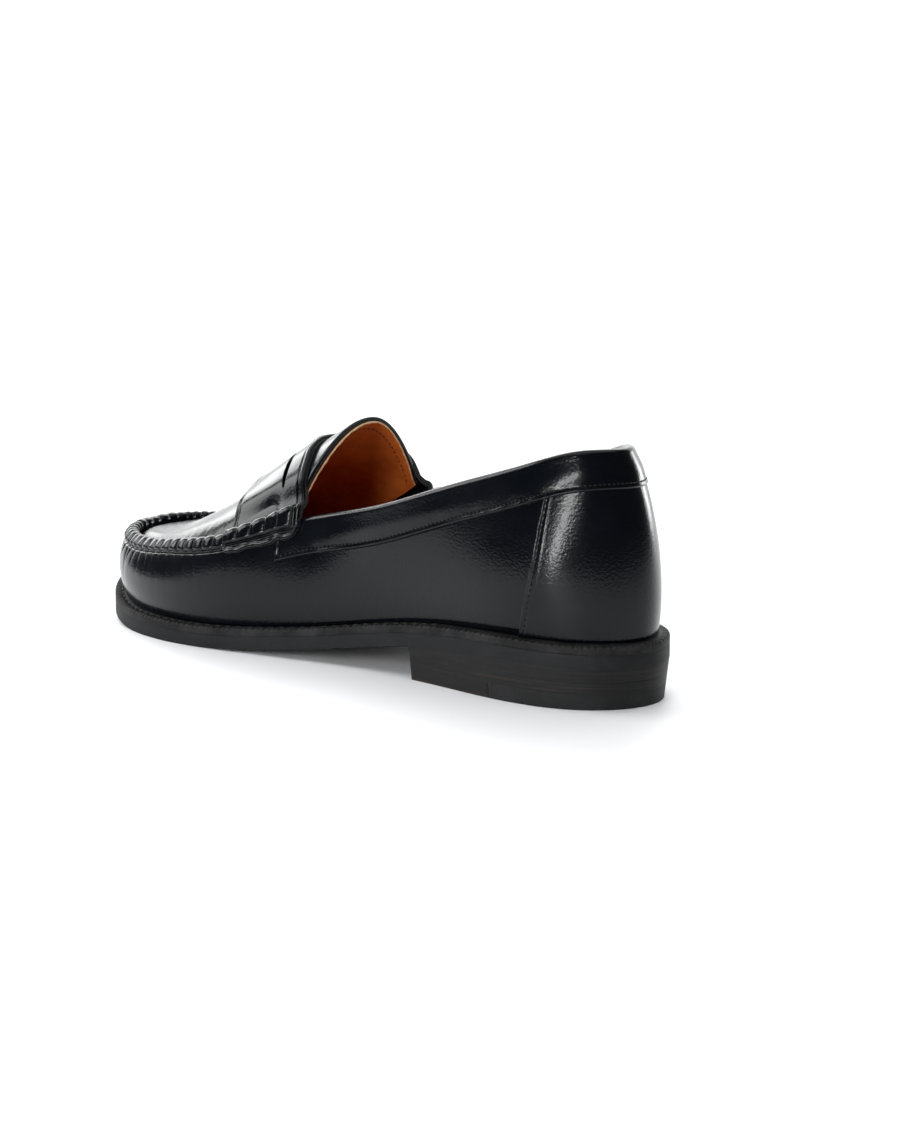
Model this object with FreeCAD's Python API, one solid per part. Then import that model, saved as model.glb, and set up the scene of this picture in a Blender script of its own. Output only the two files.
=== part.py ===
import FreeCAD, Part
import math
import os

# Left penny loafer. The pattern is drawn with x from the back of the heel to the toe,
# y to the wearer's left (the outer side) and z up from the ground, in millimetres.
# At the end every piece is turned so that the toe points to -Y and the outer side to +X.

# Driving sizes: the pattern is graded to these, as a last is graded from one size to the next.
shoe_length = 269.6
sole_width = 95.7
upper_height = 61.5
heel_height = 13.4
breast_height = 11.6
heel_length = 82.0

# The base pattern that the tables below are drawn to.
pattern_length = 269.6
pattern_width = 95.7
pattern_height = 61.5

# Leather, board and rubber thicknesses, and the film of cement between layers.
outsole_thickness = 4.6
welt_thickness = 2.9
welt_width = 9.5
insole_thickness = 2.4
sock_thickness = 1.0
pad_thickness = 3.0
upper_leather = 1.5
overlay_leather = 1.2
strap_leather = 1.4
lining_leather = 0.9
stiffener = 0.9
tape_width = 6.0
tape_thickness = 0.4
cement = 0.12
layer_gap = 0.25

# Heel stack.
top_piece_thickness = 5.2
lift_thickness = 3.6
heel_flare = 1.5
rubber_tip_length = 44.0
tip_joint = 0.6

# Moccasin seam, collar, strap, shank and thread.
apron_inset = 2.4
collar_width = 14.0
strap_rear_outer = 137.0
strap_rear_inner = 134.5
strap_rear_middle = 156.0
strap_front_outer = 166.5
strap_front_inner = 164.0
strap_front_middle = 179.0
strap_slot_reach = 0.76
strap_slot_width = 2.8
strap_bend = 1.2             # how the strap's edges sweep forward to the middle
slot_place = 0.38            # where the slot lies across the strap's width
slot_steps = 12
shank_length = 92.0
shank_width = 13.0
shank_thickness = 1.4
nail_diameter = 2.0
nail_clearance = 0.15
thread_radius = 0.4
stitch_length = 2.6
stitch_pitch = 4.2
moc_pitch = 5.3
welt_pitch = 4.6

# Room left between parts, and how far they are set in.
feather_inset = 4.6          # from the welt's edge to the foot of the wall
heel_inset = 0.2
insole_room = 1.6
sock_inset = 0.5
pad_inset = 1.5
outsole_inset = 0.35
shank_start = 40.0
shank_middle = 1.0
shank_room = 0.6
pad_length = 92.0

grade_x = shoe_length / pattern_length
grade_y = sole_width / pattern_width
grade_z = upper_height / pattern_height
centre_y = -3.0 * grade_y


def solve(rows, right):
    """Gaussian elimination with row exchange."""
    size = len(right)
    a = [list(row) for row in rows]
    b = list(right)
    for i in range(size):
        best = max(range(i, size), key=lambda k: abs(a[k][i]))
        a[i], a[best] = a[best], a[i]
        b[i], b[best] = b[best], b[i]
        for k in range(i + 1, size):
            factor = a[k][i] / a[i][i]
            for j in range(i, size):
                a[k][j] -= factor * a[i][j]
            b[k] -= factor * b[i]
    answer = [0.0] * size
    for i in range(size - 1, -1, -1):
        rest = sum(a[i][j] * answer[j] for j in range(i + 1, size))
        answer[i] = (b[i] - rest) / a[i][i]
    return answer


def fair_curve(knots, values, closed=False):
    """A cubic with continuous curvature through the values. A closed one has one more knot."""
    count = len(values)
    v = list(values) + ([values[0]] if closed else [])
    h = [b - a for a, b in zip(knots, knots[1:])]
    rows = [[0.0] * count for _ in range(count)]
    right = [0.0] * count
    for i in range(count):
        if not closed and i in (0, count - 1):
            rows[i][i] = 1.0
            continue
        rows[i][i - 1] += h[i - 1]
        rows[i][i] += 2 * (h[i - 1] + h[i])
        rows[i][(i + 1) % count] += h[i]
        before = v[i - 1] if i else v[count - 1]
        right[i] = 6 * ((v[i + 1] - v[i]) / h[i] - (v[i] - before) / h[i - 1])
    m = solve(rows, right)
    if closed:
        m.append(m[0])
    start = knots[0]
    end = knots[-1]

    def value(x):
        if closed:
            x = start + (x - start) % (end - start)
        elif x <= start:
            return v[0] + (x - start) * ((v[1] - v[0]) / h[0] - h[0] * (2 * m[0] + m[1]) / 6)
        elif x >= end:
            slope = (v[-1] - v[-2]) / h[-1] + h[-1] * (m[-2] + 2 * m[-1]) / 6
            return v[-1] + (x - end) * slope
        i = 0
        while i < len(h) - 1 and x > knots[i + 1]:
            i += 1
        a = (knots[i + 1] - x) / h[i]
        b = 1 - a
        bend = (a ** 3 - a) * m[i] + (b ** 3 - b) * m[i + 1]
        return a * v[i] + b * v[i + 1] + bend * h[i] ** 2 / 6

    return value


# Underside of the outsole from the heel seat to the toe: a low heel, an arched waist,
# flat on the ground under the ball of the foot, and a little toe spring.
arch_x = [-2, heel_length / grade_x, 105, 131, 152, 175, 200, 222, 240, 268]
arch_z = [heel_height, breast_height, 0.71 * breast_height, 4.0, 1.7, 0.18, 0.03, 0.35, 2.6, 8.2]
sole_arch = fair_curve([x * grade_x for x in arch_x], arch_z)
sole_stack = outsole_thickness + welt_thickness + 2 * cement


def welt_top(x):
    return sole_arch(x) + sole_stack


# Stations round the shoe: heel back, outer side, toe, inner side. Each gives the edge of the
# welt (x, y), the top edge of the wall (x, y, height over the welt), how far the feather line
# stands in from the welt's edge, and the swell of the wall low down and near its top, each as
# a distance outwards and a share of the wall's height.
stations = [
    (-1.6, 1.5, 13.7, 1.0, 61.4, 4.8, 3.0, 0.38, 7.0, 0.21),
    (7.0, 21.5, 19.2, 14.5, 61.3, 4.9, 3.0, 0.38, 5.5, 0.22),
    (33.0, 32.0, 36.9, 22.9, 55.6, 4.8, 3.5, 0.35, 3.0, 0.35),
    (66.0, 32.0, 66.0, 27.0, 47.6, 4.2, 3.0, 0.35, 2.0, 0.35),
    (100.0, 32.4, 100.0, 29.1, 41.1, 4.2, 2.5, 0.35, 1.5, 0.35),
    (131.0, 37.0, 133.0, 30.0, 39.1, 4.2, 3.0, 0.40, 2.5, 0.30),
    (160.0, 44.4, 163.0, 39.5, 33.4, 4.4, 3.5, 0.40, 3.5, 0.25),
    (192.0, 49.2, 194.0, 40.2, 28.4, 4.4, 3.5, 0.40, 5.0, 0.20),
    (222.0, 44.0, 221.0, 34.5, 24.9, 4.2, 4.0, 0.40, 6.0, 0.20),
    (242.0, 33.5, 236.5, 28.5, 23.8, 4.0, 4.4, 0.42, 5.0, 0.20),
    (258.5, 16.0, 247.0, 16.0, 22.8, 4.0, 4.6, 0.42, 5.5, 0.20),
    (268.0, -5.5, 251.0, -4.5, 22.1, 4.4, 4.4, 0.42, 7.0, 0.20),
    (259.0, -25.0, 245.0, -16.0, 23.1, 4.6, 4.2, 0.40, 6.0, 0.20),
    (241.0, -37.0, 235.0, -25.0, 25.2, 4.6, 4.0, 0.40, 5.0, 0.20),
    (220.0, -43.5, 219.0, -31.0, 28.2, 4.6, 3.5, 0.40, 5.0, 0.20),
    (196.0, -46.5, 194.0, -36.0, 32.4, 4.6, 3.5, 0.40, 4.0, 0.20),
    (166.0, -41.0, 164.0, -36.0, 37.1, 4.4, 3.5, 0.40, 3.0, 0.25),
    (136.0, -30.5, 134.0, -28.5, 42.8, 4.2, 3.0, 0.40, 2.0, 0.30),
    (104.0, -24.0, 104.0, -25.8, 43.9, 4.0, 2.0, 0.35, 1.5, 0.35),
    (68.0, -26.5, 66.0, -24.4, 49.0, 4.0, 3.0, 0.35, 2.0, 0.35),
    (34.0, -26.8, 37.4, -19.4, 56.7, 4.7, 3.5, 0.35, 3.0, 0.35),
    (8.0, -17.0, 22.3, -11.2, 60.7, 4.8, 3.0, 0.38, 6.5, 0.21),
]
station_grades = [grade_x, grade_y, grade_x, grade_y, grade_z, 1, 1, 1, 1, 1]
graded = [[value * grade for value, grade in zip(row, station_grades)] for row in stations]
around = [0.0]
for here, following in zip(graded, graded[1:] + graded[:1]):
    around.append(around[-1] + math.hypot(here[0] - following[0], here[1] - following[1]))
girth = around[-1]
columns = [fair_curve(around, [row[i] for row in graded], True) for i in range(10)]
toe_station = around[11]


def edge(s, inset=0.0):
    """Point of the welt's edge at the distance s round the shoe, moved in, and the way out."""
    step = 0.5
    tx = columns[0](s + step) - columns[0](s - step)
    ty = columns[1](s + step) - columns[1](s - step)
    length = math.hypot(tx, ty)
    out = (-ty / length, tx / length)
    return columns[0](s) - out[0] * inset, columns[1](s) - out[1] * inset, out


def wall_middle(s, t):
    """Outer face of the leather wall, t from 0 at the welt to 1 at the top edge."""
    low_out, low_up, high_out, high_down = [column(s) for column in columns[6:]]
    fx, fy, out = edge(s, columns[5](s))
    fz = welt_top(fx) + cement
    tx, ty, rise = [column(s) for column in columns[2:5]]
    tz = welt_top(tx) + rise
    height = tz - fz
    poles = [
        (fx, fy, fz),
        (fx + out[0] * low_out, fy + out[1] * low_out, fz + low_up * height),
        (tx + out[0] * high_out, ty + out[1] * high_out, tz - high_down * height),
        (tx, ty, tz),
    ]
    share = [(1 - t) ** 3, 3 * t * (1 - t) ** 2, 3 * t * t * (1 - t), t ** 3]
    return FreeCAD.Vector(*[sum(w * p[i] for w, p in zip(share, poles)) for i in range(3)])


def wall(s, t, out=0.0):
    """A point of the wall, moved out along its normal, or in when out is negative."""
    along = wall_middle(s + 0.5, t) - wall_middle(s - 0.5, t)
    up = wall_middle(s, min(t + 0.01, 1.0)) - wall_middle(s, max(t - 0.01, 0.0))
    normal = up.cross(along)
    return wall_middle(s, t) + normal.normalize().multiply(out)


def wall_height(s):
    return (wall_middle(s, 1.0) - wall_middle(s, 0.0)).Length


def place_at(x, side, t=0.7):
    """The distance round the shoe at which the wall passes x, on the outer or inner side."""
    low = 0.0 if side > 0 else girth
    high = toe_station
    for _ in range(40):
        middle = (low + high) / 2
        if wall_middle(middle, t).x < x:
            low = middle
        else:
            high = middle
    return (low + high) / 2


# Arch over the instep: at each x the outer and inner sides (y, z) and the crown's height.
instep_x = [value * grade_x for value in (130, 148, 163, 194, 220, 240, 255)]
outer_y = fair_curve(instep_x, [y * grade_y for y in (31.0, 35.5, 39.6, 40.2, 34.0, 28.0, 23.0)])
inner_y = fair_curve(instep_x, [y * grade_y for y in (-29.5, -33.5, -36.0, -36.0, -30.8, -25, -21)])
outer_rise = fair_curve(instep_x, [z * grade_z for z in (39.5, 36.8, 32.9, 27.6, 24.2, 23.0, 20.4)])
inner_rise = fair_curve(instep_x, [z * grade_z for z in (43.8, 39.6, 36.8, 31.9, 27.8, 24.2, 20.4)])
crown_x = [value * grade_x for value in (120, 138, 160, 172, 188, 205, 220, 235, 246, 258)]
crown_rise = fair_curve(
    crown_x, [z * grade_z for z in (79, 71.5, 60.6, 53.6, 44.3, 35.8, 29.7, 24.5, 21.3, 18.6)]
)


def arch(x, y):
    """Height of the apron's outer face over the ground."""
    side_y, rise = (outer_y(x), outer_rise(x)) if y > centre_y else (inner_y(x), inner_rise(x))
    across = abs((y - centre_y) / (side_y - centre_y))
    drop = (crown_rise(x) - rise) * across ** 2.1
    return welt_top(x) + crown_rise(x) - drop


# Solids from shapes.
def closed_wire(points):
    spline = Part.BSplineCurve()
    spline.interpolate(Points=points, PeriodicFlag=True)
    return Part.Wire([spline.toShape()])


def outline_points(inset, z=0.0, count=72):
    spots = [edge(girth * i / count, inset) for i in range(count)]
    return [FreeCAD.Vector(x, y, z) for x, y, _ in spots]


def prism(points, low=-5.0, high=140.0):
    moved = [FreeCAD.Vector(p.x, p.y, low) for p in points]
    face = Part.Face(closed_wire(moved))
    return face.extrude(FreeCAD.Vector(0, 0, high - low))


def level_slab(low, high, start=-8.0, end=285.0, low_line=None):
    """Everything between two lines that run parallel to the arch of the sole."""
    xs = [start + (end - start) * i / 40 for i in range(41)]
    lower = [FreeCAD.Vector(x, -80, sole_arch(x) + low) for x in xs]
    if low_line is not None:
        lower = [FreeCAD.Vector(start, -80, low_line), FreeCAD.Vector(end, -80, low_line)]
    upper = [FreeCAD.Vector(x, -80, sole_arch(x) + high) for x in xs]
    edges = []
    for line in (lower, upper):
        spline = Part.BSplineCurve()
        spline.interpolate(line)
        edges.append(spline.toShape())
    for a, b in ((lower[0], upper[0]), (lower[-1], upper[-1])):
        edges.append(Part.makeLine(a, b))
    wire = Part.Wire(Part.__sortEdges__(edges))
    return Part.Face(wire).extrude(FreeCAD.Vector(0, 160, 0))


def sheet(outer, inner):
    """A closed solid between two grids of points, such as the two faces of a leather piece."""
    faces = []
    borders = []
    for grid in (outer, inner):
        surface = Part.BSplineSurface()
        surface.interpolate(grid)
        u0, u1, v0, v1 = surface.bounds()
        lines = [surface.uIso(u0), surface.uIso(u1), surface.vIso(v0), surface.vIso(v1)]
        borders.append([line.toShape() for line in lines])
        faces.append(surface.toShape())
    for first, second in zip(*borders):
        faces.append(Part.makeRuledSurface(first, second))
    shell = Part.Shell(faces)
    shell.sewShape()
    solid = Part.Solid(shell)
    if solid.Volume < 0:
        solid.reverse()
    return solid


def wall_sheet(s_from, s_to, t_low, t_high, outside, inside, spacing=5.5, rows=9):
    """A piece of the wall. The limits are numbers or functions: of the height for the two ends,
    of the place round the shoe for the lower and upper edges."""
    ends = [value if callable(value) else (lambda _, v=value: v) for value in (s_from, s_to)]
    edges = [value if callable(value) else (lambda _, v=value: v) for value in (t_low, t_high)]
    count = max(6, int((ends[1](0.5) - ends[0](0.5)) / spacing))
    grids = [[], []]
    for i in range(count + 1):
        lines = [[], []]
        for j in range(rows):
            share = j / (rows - 1)
            s = ends[0](share) + (ends[1](share) - ends[0](share)) * i / count
            t = edges[0](s) + (edges[1](s) - edges[0](s)) * share
            lines[0].append(wall(s, t, outside))
            lines[1].append(wall(s, t, inside))
        grids[0].append(lines[0])
        grids[1].append(lines[1])
    return sheet(*grids)


def arch_block(top, bottom, start, end, count=17, across=13):
    """The vault over the instep between two depths, wider than the shoe, before its outline is cut."""
    grids = []
    for depth in (top, bottom):
        grid = []
        for i in range(count):
            x = start + (end - start) * i / (count - 1)
            left = outer_y(x) + 4.0
            right = inner_y(x) - 4.0
            line = []
            for j in range(across):
                y = right + (left - right) * j / (across - 1)
                line.append(FreeCAD.Vector(x, y, arch(x, y) + depth))
            grid.append(line)
        grids.append(grid)
    return sheet(*grids)


def thread(start, end):
    """One straight stitch lying on the leather."""
    way = end - start
    return Part.makeCylinder(thread_radius, way.Length, start, way)


def stitch_row(point, start, end, pitch, length=stitch_length):
    """Stitches along point(s), which gives a place on the leather."""
    count = max(2, int(abs(end - start) / pitch))
    step = (end - start) / count
    share = length / abs(step) if abs(step) > length else 0.7
    stitches = []
    for i in range(count):
        first = start + step * (i + 0.5 - share / 2)
        last = start + step * (i + 0.5 + share / 2)
        stitches.append(thread(point(first), point(last)))
    return Part.makeCompound(stitches)


# Places on the wall.
back_seam = 0.4
throat_outer = place_at(139 * grade_x, 1, 1.0)
throat_inner = place_at(134 * grade_x, -1, 1.0)
collar_end_outer = place_at(145 * grade_x, 1)
collar_end_inner = place_at(142 * grade_x, -1)
seam_top_outer = place_at(26.5 * grade_x, 1)
seam_foot_outer = place_at(34 * grade_x, 1, 0.1)
seam_top_inner = place_at(29 * grade_x, -1) - girth
seam_foot_inner = place_at(37 * grade_x, -1, 0.1) - girth


def collar_line(s):
    """Lower edge of the collar band, as a share of the wall's height."""
    return 1 - collar_width / wall_height(s)


# Sole unit.
def make_outsole():
    body = level_slab(0, outsole_thickness).common(prism(outline_points(outsole_inset)))
    return body.cut(nail_holes())


def make_welt():
    ring = prism(outline_points(0)).cut(prism(outline_points(welt_width), -6.0, 141.0))
    low = outsole_thickness + cement
    return ring.common(level_slab(low, low + welt_thickness))


def nail_spots():
    spots = []
    for x, y in ((16, 3), (30, -14), (34, 20), (58, -13), (60, 18)):
        spots.append((x * grade_x, y * grade_y))
    return spots


def nail_row(radius, low, high):
    pins = []
    for x, y in nail_spots():
        bottom = FreeCAD.Vector(x, y, low)
        pins.append(Part.makeCylinder(radius, high - low, bottom))
    return Part.makeCompound(pins)


def nail_holes():
    return nail_row(nail_diameter / 2 + nail_clearance, -1.0, heel_height + sole_stack)


def heel_block(low, high):
    """A slice of the heel, narrower towards the ground."""
    wires = []
    for z in (low, high):
        inset = heel_flare * (1 - z / heel_height) + heel_inset
        wires.append(closed_wire(outline_points(inset, z)))
    block = Part.makeLoft(wires, True, True)
    front = Part.makeBox(heel_length + 10, 160, high - low + 2, FreeCAD.Vector(-10, -80, low - 1))
    return block.common(front)


def make_heel():
    tip = rubber_tip_length * grade_x
    front_box = Part.makeBox(heel_length, 160, 40, FreeCAD.Vector(tip + tip_joint, -80, -10))
    rear_box = Part.makeBox(tip + 20, 160, 40, FreeCAD.Vector(-20, -80, -10))
    top_piece = heel_block(0.0, top_piece_thickness)
    lift_1_low = top_piece_thickness + cement
    lift_2_low = lift_1_low + lift_thickness + cement
    seat = level_slab(0, -cement, end=heel_length + 5, low_line=lift_2_low)
    lift_2 = heel_block(lift_2_low, heel_height).common(seat)
    holes = nail_holes()
    return {
        "heel_rubber_tip": top_piece.common(rear_box),
        "heel_top_piece": top_piece.common(front_box),
        "heel_lift_lower": heel_block(lift_1_low, lift_1_low + lift_thickness).cut(holes),
        "heel_lift_upper": lift_2.cut(holes),
    }


insole_low = sole_stack + cement
insole_inset = feather_inset + upper_leather + stiffener + lining_leather + insole_room


def make_insole():
    low = insole_low
    return level_slab(low, low + insole_thickness).common(prism(outline_points(insole_inset)))


def make_filler():
    low = outsole_thickness + cement
    inner = prism(outline_points(welt_width + cement))
    fill = level_slab(low, low + welt_thickness).common(inner)
    room = shank_block(shank_thickness + welt_thickness, shank_width + shank_room, shank_length + shank_room)
    return fill.cut(room).cut(nail_holes())


def shank_block(thickness, width, length):
    start = shank_start * grade_x - (length - shank_length) / 2
    low = outsole_thickness + cement
    lane = Part.makeBox(length, width, 60, FreeCAD.Vector(start, shank_middle - width / 2, -5))
    return level_slab(low, low + thickness).common(lane)


def make_sock():
    low = insole_low + insole_thickness + cement
    sock = level_slab(low, low + sock_thickness).common(prism(outline_points(insole_inset + sock_inset)))
    pad_low = low + sock_thickness + cement
    pad = level_slab(pad_low, pad_low + pad_thickness)
    pad = pad.common(prism(outline_points(insole_inset + pad_inset)))
    heel_part = Part.makeBox(pad_length * grade_x, 160, 60, FreeCAD.Vector(-20, -80, -5))
    return sock, pad.common(heel_part)


# Upper.
def make_wall_pieces():
    lining_out = -upper_leather - stiffener - 2 * layer_gap
    lining_in = lining_out - lining_leather
    stiff_out = -upper_leather - layer_gap
    stiff_in = stiff_out - stiffener
    over = layer_gap + overlay_leather
    front_outer = place_at(120 * grade_x, 1)
    front_inner = place_at(118 * grade_x, -1)
    heel_outer = place_at(42 * grade_x, 1)
    heel_inner = place_at(42 * grade_x, -1) - girth
    puff_outer = place_at(205 * grade_x, 1)
    puff_inner = place_at(203 * grade_x, -1)
    cap = 0.985
    gap = 0.5
    top_gap = 0.3 / upper_height

    def seam_outer(share):
        return seam_foot_outer + (seam_top_outer - seam_foot_outer) * share

    def seam_inner(share):
        return seam_foot_inner + (seam_top_inner - seam_foot_inner) * share

    return {
        "vamp": wall_sheet(back_seam, girth - back_seam, 0.0, 1.0, 0.0, -upper_leather),
        "heel_cover": wall_sheet(
            seam_inner, seam_outer, 0.004, lambda s: collar_line(s) - top_gap, over, layer_gap
        ),
        "collar_band": wall_sheet(
            collar_end_inner - girth, collar_end_outer, collar_line, 1.0, over, layer_gap, rows=5
        ),
        "heel_counter": wall_sheet(
            place_at(70 * grade_x, -1) - girth, place_at(70 * grade_x, 1), 0.03, 0.72,
            stiff_out, stiff_in
        ),
        "toe_puff": wall_sheet(puff_outer, puff_inner, 0.05, 0.86, stiff_out, stiff_in),
        "topline_tape": wall_sheet(
            throat_inner - girth + 2, throat_outer - 2,
            lambda s: 1 - tape_width / wall_height(s), cap, stiff_out, stiff_out - tape_thickness, rows=4
        ),
        "vamp_lining": wall_sheet(
            front_outer + gap, front_inner - gap, 0.03, 0.90, lining_out, lining_in
        ),
        "quarter_lining_outer": wall_sheet(
            heel_outer + gap, front_outer - gap, 0.03, cap, lining_out, lining_in
        ),
        "quarter_lining_inner": wall_sheet(
            front_inner + gap, heel_inner + girth - gap, 0.03, cap, lining_out, lining_in
        ),
        "heel_grip": wall_sheet(
            heel_inner + gap, heel_outer - gap, 0.03, cap, lining_out, lining_in
        ),
    }


def front_outline(inset, back_x, bow=0.0):
    """Plan of the apron: the moccasin seam from one throat corner round the toe to the other,
    moved in, and closed across the instep by a line that bows back."""
    start = place_at(back_x, 1, 1.0)
    end = place_at(back_x, -1, 1.0)
    count = 34
    ring = []
    for i in range(count + 1):
        point = wall(start + (end - start) * i / count, 1.0)
        out = edge(start + (end - start) * i / count)[2]
        ring.append(FreeCAD.Vector(point.x - out[0] * inset, point.y - out[1] * inset, 0))
    spline = Part.BSplineCurve()
    spline.interpolate(ring)
    middle = (ring[0] + ring[-1]).multiply(0.5) - FreeCAD.Vector(bow, 0, 0)
    closing = Part.Arc(ring[-1], middle, ring[0]).toShape()
    face = Part.Face(Part.Wire([spline.toShape(), closing]))
    face.translate(FreeCAD.Vector(0, 0, -5))
    return face.extrude(FreeCAD.Vector(0, 0, 150))


throat_x = 139.5 * grade_x
tongue_bow = 2.0


def make_apron_pieces():
    inset = upper_leather + apron_inset
    span = 118 * grade_x, 262 * grade_x
    apron = arch_block(0, -upper_leather, *span)
    apron = apron.common(front_outline(inset, throat_x, tongue_bow))
    top = -upper_leather - cement
    lining = arch_block(top, top - lining_leather, *span)
    lining = lining.common(front_outline(inset + 2.0, throat_x + 1.0, tongue_bow))
    return apron, lining


def strap_path(x_sides, x_centre, depth):
    """A line over the instep under the strap, from the outer wall to the inner wall."""
    clear = 2 * layer_gap + overlay_leather + depth
    halves = []
    for side, x_side, foot in ((1, x_sides[0], 0.80), (-1, x_sides[1], 0.82)):
        s = place_at(x_side, side, 0.9)
        out = edge(s)[2]
        half = [wall(s, foot + (0.99 - foot) * k / 4, clear) for k in range(4)]
        half.append(wall(s, 1.0) + FreeCAD.Vector(0.6 * out[0], 0.6 * out[1], clear))
        for k in (0.80, 0.62, 0.44, 0.28, 0.13):
            x = x_centre + (x_side - x_centre) * k ** strap_bend
            y_side = outer_y(x) if side > 0 else inner_y(x)
            y = centre_y + (y_side - centre_y) * k
            lift = 2 * layer_gap + 1.6 * k ** 4 + depth
            half.append(FreeCAD.Vector(x, y, arch(x, y) + lift))
        halves.append(half)
    top = arch(x_centre, centre_y) + 2 * layer_gap + depth
    return halves[0] + [FreeCAD.Vector(x_centre, centre_y, top)] + halves[1][::-1]


def strap_line(share, depth):
    """The line under the strap at a share of its width, from its rear edge to its front edge."""
    outer = (strap_rear_outer + (strap_front_outer - strap_rear_outer) * share) * grade_x
    inner = (strap_rear_inner + (strap_front_inner - strap_rear_inner) * share) * grade_x
    middle = (strap_rear_middle + (strap_front_middle - strap_rear_middle) * share) * grade_x
    return strap_path((outer, inner), middle, depth)


strap_low = lining_leather + cement


def slot_line(share):
    """A place on the middle of the slot, at a share of the way from the middle of the strap to
    the outer edge (above 0) or the inner edge (below 0)."""
    rear, front = (strap_rear_outer, strap_front_outer)
    if share < 0:
        rear, front = (strap_rear_inner, strap_front_inner)
    x_side = (rear + (front - rear) * slot_place) * grade_x
    x_middle = (strap_rear_middle + (strap_front_middle - strap_rear_middle) * slot_place) * grade_x
    x = x_middle + (x_side - x_middle) * abs(share) ** strap_bend
    y_side = outer_y(x) if share > 0 else inner_y(x)
    return x, centre_y + (y_side - centre_y) * abs(share)


def make_strap_pieces():
    """The saddle strap and its lining beneath."""
    shares = [i / 6 for i in range(7)]
    depths = (strap_low + strap_leather, strap_low, lining_leather, 0.0)
    grids = [[strap_line(share, depth) for share in shares] for depth in depths]
    front = []
    back = []
    for i in range(-slot_steps, slot_steps + 1):
        share = i / slot_steps
        x, y = slot_line(share * strap_slot_reach)
        half = strap_slot_width / 2 * (1 - abs(share) ** 4)
        front.append(FreeCAD.Vector(x + half, y, 0))
        back.append(FreeCAD.Vector(x - half, y, 0))
    outline = Part.makePolygon(front + back[-2:0:-1] + front[:1])
    slot = Part.Face(outline).extrude(FreeCAD.Vector(0, 0, 150))
    return sheet(*grids[:2]).cut(slot), sheet(*grids[2:])


# Thread.
def make_stitches():
    over = layer_gap + overlay_leather + thread_radius + 0.05
    base = thread_radius + 0.05
    ridge = place_at(172 * grade_x, 1, 1.0), place_at(170 * grade_x, -1, 1.0)

    def above_welt(s):
        x, y, _ = edge(s, 1.3)
        return FreeCAD.Vector(x, y, welt_top(x) + base)

    def on_collar(s):
        return wall(s, collar_line(s) + 1.8 / wall_height(s), over)

    def on_seam(foot, top):
        def spot(share):
            s = foot + (top - foot) * share - math.copysign(2.0, foot)
            return wall(s, 0.05 + 0.62 * share, over)
        return spot

    def over_ridge(s):
        return wall(s, 1.0) + FreeCAD.Vector(0, 0, base)

    moc = []
    count = int((ridge[1] - ridge[0]) / moc_pitch)
    for i in range(count):
        s = ridge[0] + (ridge[1] - ridge[0]) * (i + 0.5) / count
        out = edge(s)[2]
        across = FreeCAD.Vector(out[0], out[1], 0).multiply(0.9)
        crest = over_ridge(s) - FreeCAD.Vector(out[0], out[1], 0).multiply(upper_leather / 2)
        moc.append(thread(crest - across, crest + across))
    seam_count = 10
    seams = {
        "heel_seam_stitches_outer": stitch_row(
            on_seam(seam_foot_outer, seam_top_outer), 0, 1, 1 / seam_count, 0.6 / seam_count
        ),
        "heel_seam_stitches_inner": stitch_row(
            on_seam(seam_foot_inner, seam_top_inner), 0, 1, 1 / seam_count, 0.6 / seam_count
        ),
    }
    def on_tongue(share):
        y = centre_y + 25.0 * grade_y * (2 * share - 1)
        x = throat_x - tongue_bow * (1 - (2 * share - 1) ** 2) + 3.0
        return FreeCAD.Vector(x, y, arch(x, y) + base)

    strap_ends = []
    for i in range(5):
        line = strap_line((i + 0.7) / 5.4, strap_low + strap_leather + base)
        strap_ends.append(thread(line[3], line[4]))
        strap_ends.append(thread(line[-4], line[-5]))
    seams["strap_stitches"] = Part.makeCompound(strap_ends)
    seams["tongue_stitches"] = stitch_row(on_tongue, 0, 1, 0.045, 0.027)
    seams["welt_stitches"] = stitch_row(above_welt, 0, girth, welt_pitch, 3.0)
    seams["collar_stitches"] = stitch_row(
        on_collar, collar_end_inner - girth + 2, collar_end_outer - 2, stitch_pitch
    )
    seams["moc_seam_stitches"] = Part.makeCompound(moc)
    return seams


def build():
    sock, pad = make_sock()
    apron, apron_lining = make_apron_pieces()
    strap, strap_lining = make_strap_pieces()
    nail_top = heel_height + outsole_thickness - 2.5
    pieces = {
        "outsole": make_outsole(),
        "welt": make_welt(),
        "insole_board": make_insole(),
        "forepart_filler": make_filler(),
        "shank": shank_block(shank_thickness, shank_width, shank_length),
        "sock_lining": sock,
        "heel_pad": pad,
        "heel_nails": nail_row(nail_diameter / 2, top_piece_thickness + 2 * cement, nail_top),
        "apron": apron,
        "apron_lining": apron_lining,
        "saddle_strap": strap,
        "strap_lining": strap_lining,
    }
    pieces.update(make_heel())
    pieces.update(make_wall_pieces())
    pieces.update(make_stitches())
    return pieces


def main():
    os.makedirs("parts", exist_ok=True)
    border = outline_points(0, 0, 360)
    middle_x = (min(p.x for p in border) + max(p.x for p in border)) / 2
    middle_y = (min(p.y for p in border) + max(p.y for p in border)) / 2
    turn = FreeCAD.Rotation(FreeCAD.Vector(0, 0, 1), -90)
    shift = FreeCAD.Placement(FreeCAD.Vector(-middle_y, middle_x, 0), turn)
    for name, shape in build().items():
        shape.Placement = shift
        shape.exportStep("parts/" + name + ".step")
        box = shape.BoundBox
        print(name, len(shape.Solids), shape.isValid(), round(shape.Volume),
              "x", round(box.XMin, 1), round(box.XMax, 1), "y", round(box.YMin, 1),
              round(box.YMax, 1), "z", round(box.ZMin, 1), round(box.ZMax, 1))


main()
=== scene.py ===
import bmesh
import bpy
import math
import numpy as np
from mathutils import Matrix, Vector


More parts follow.
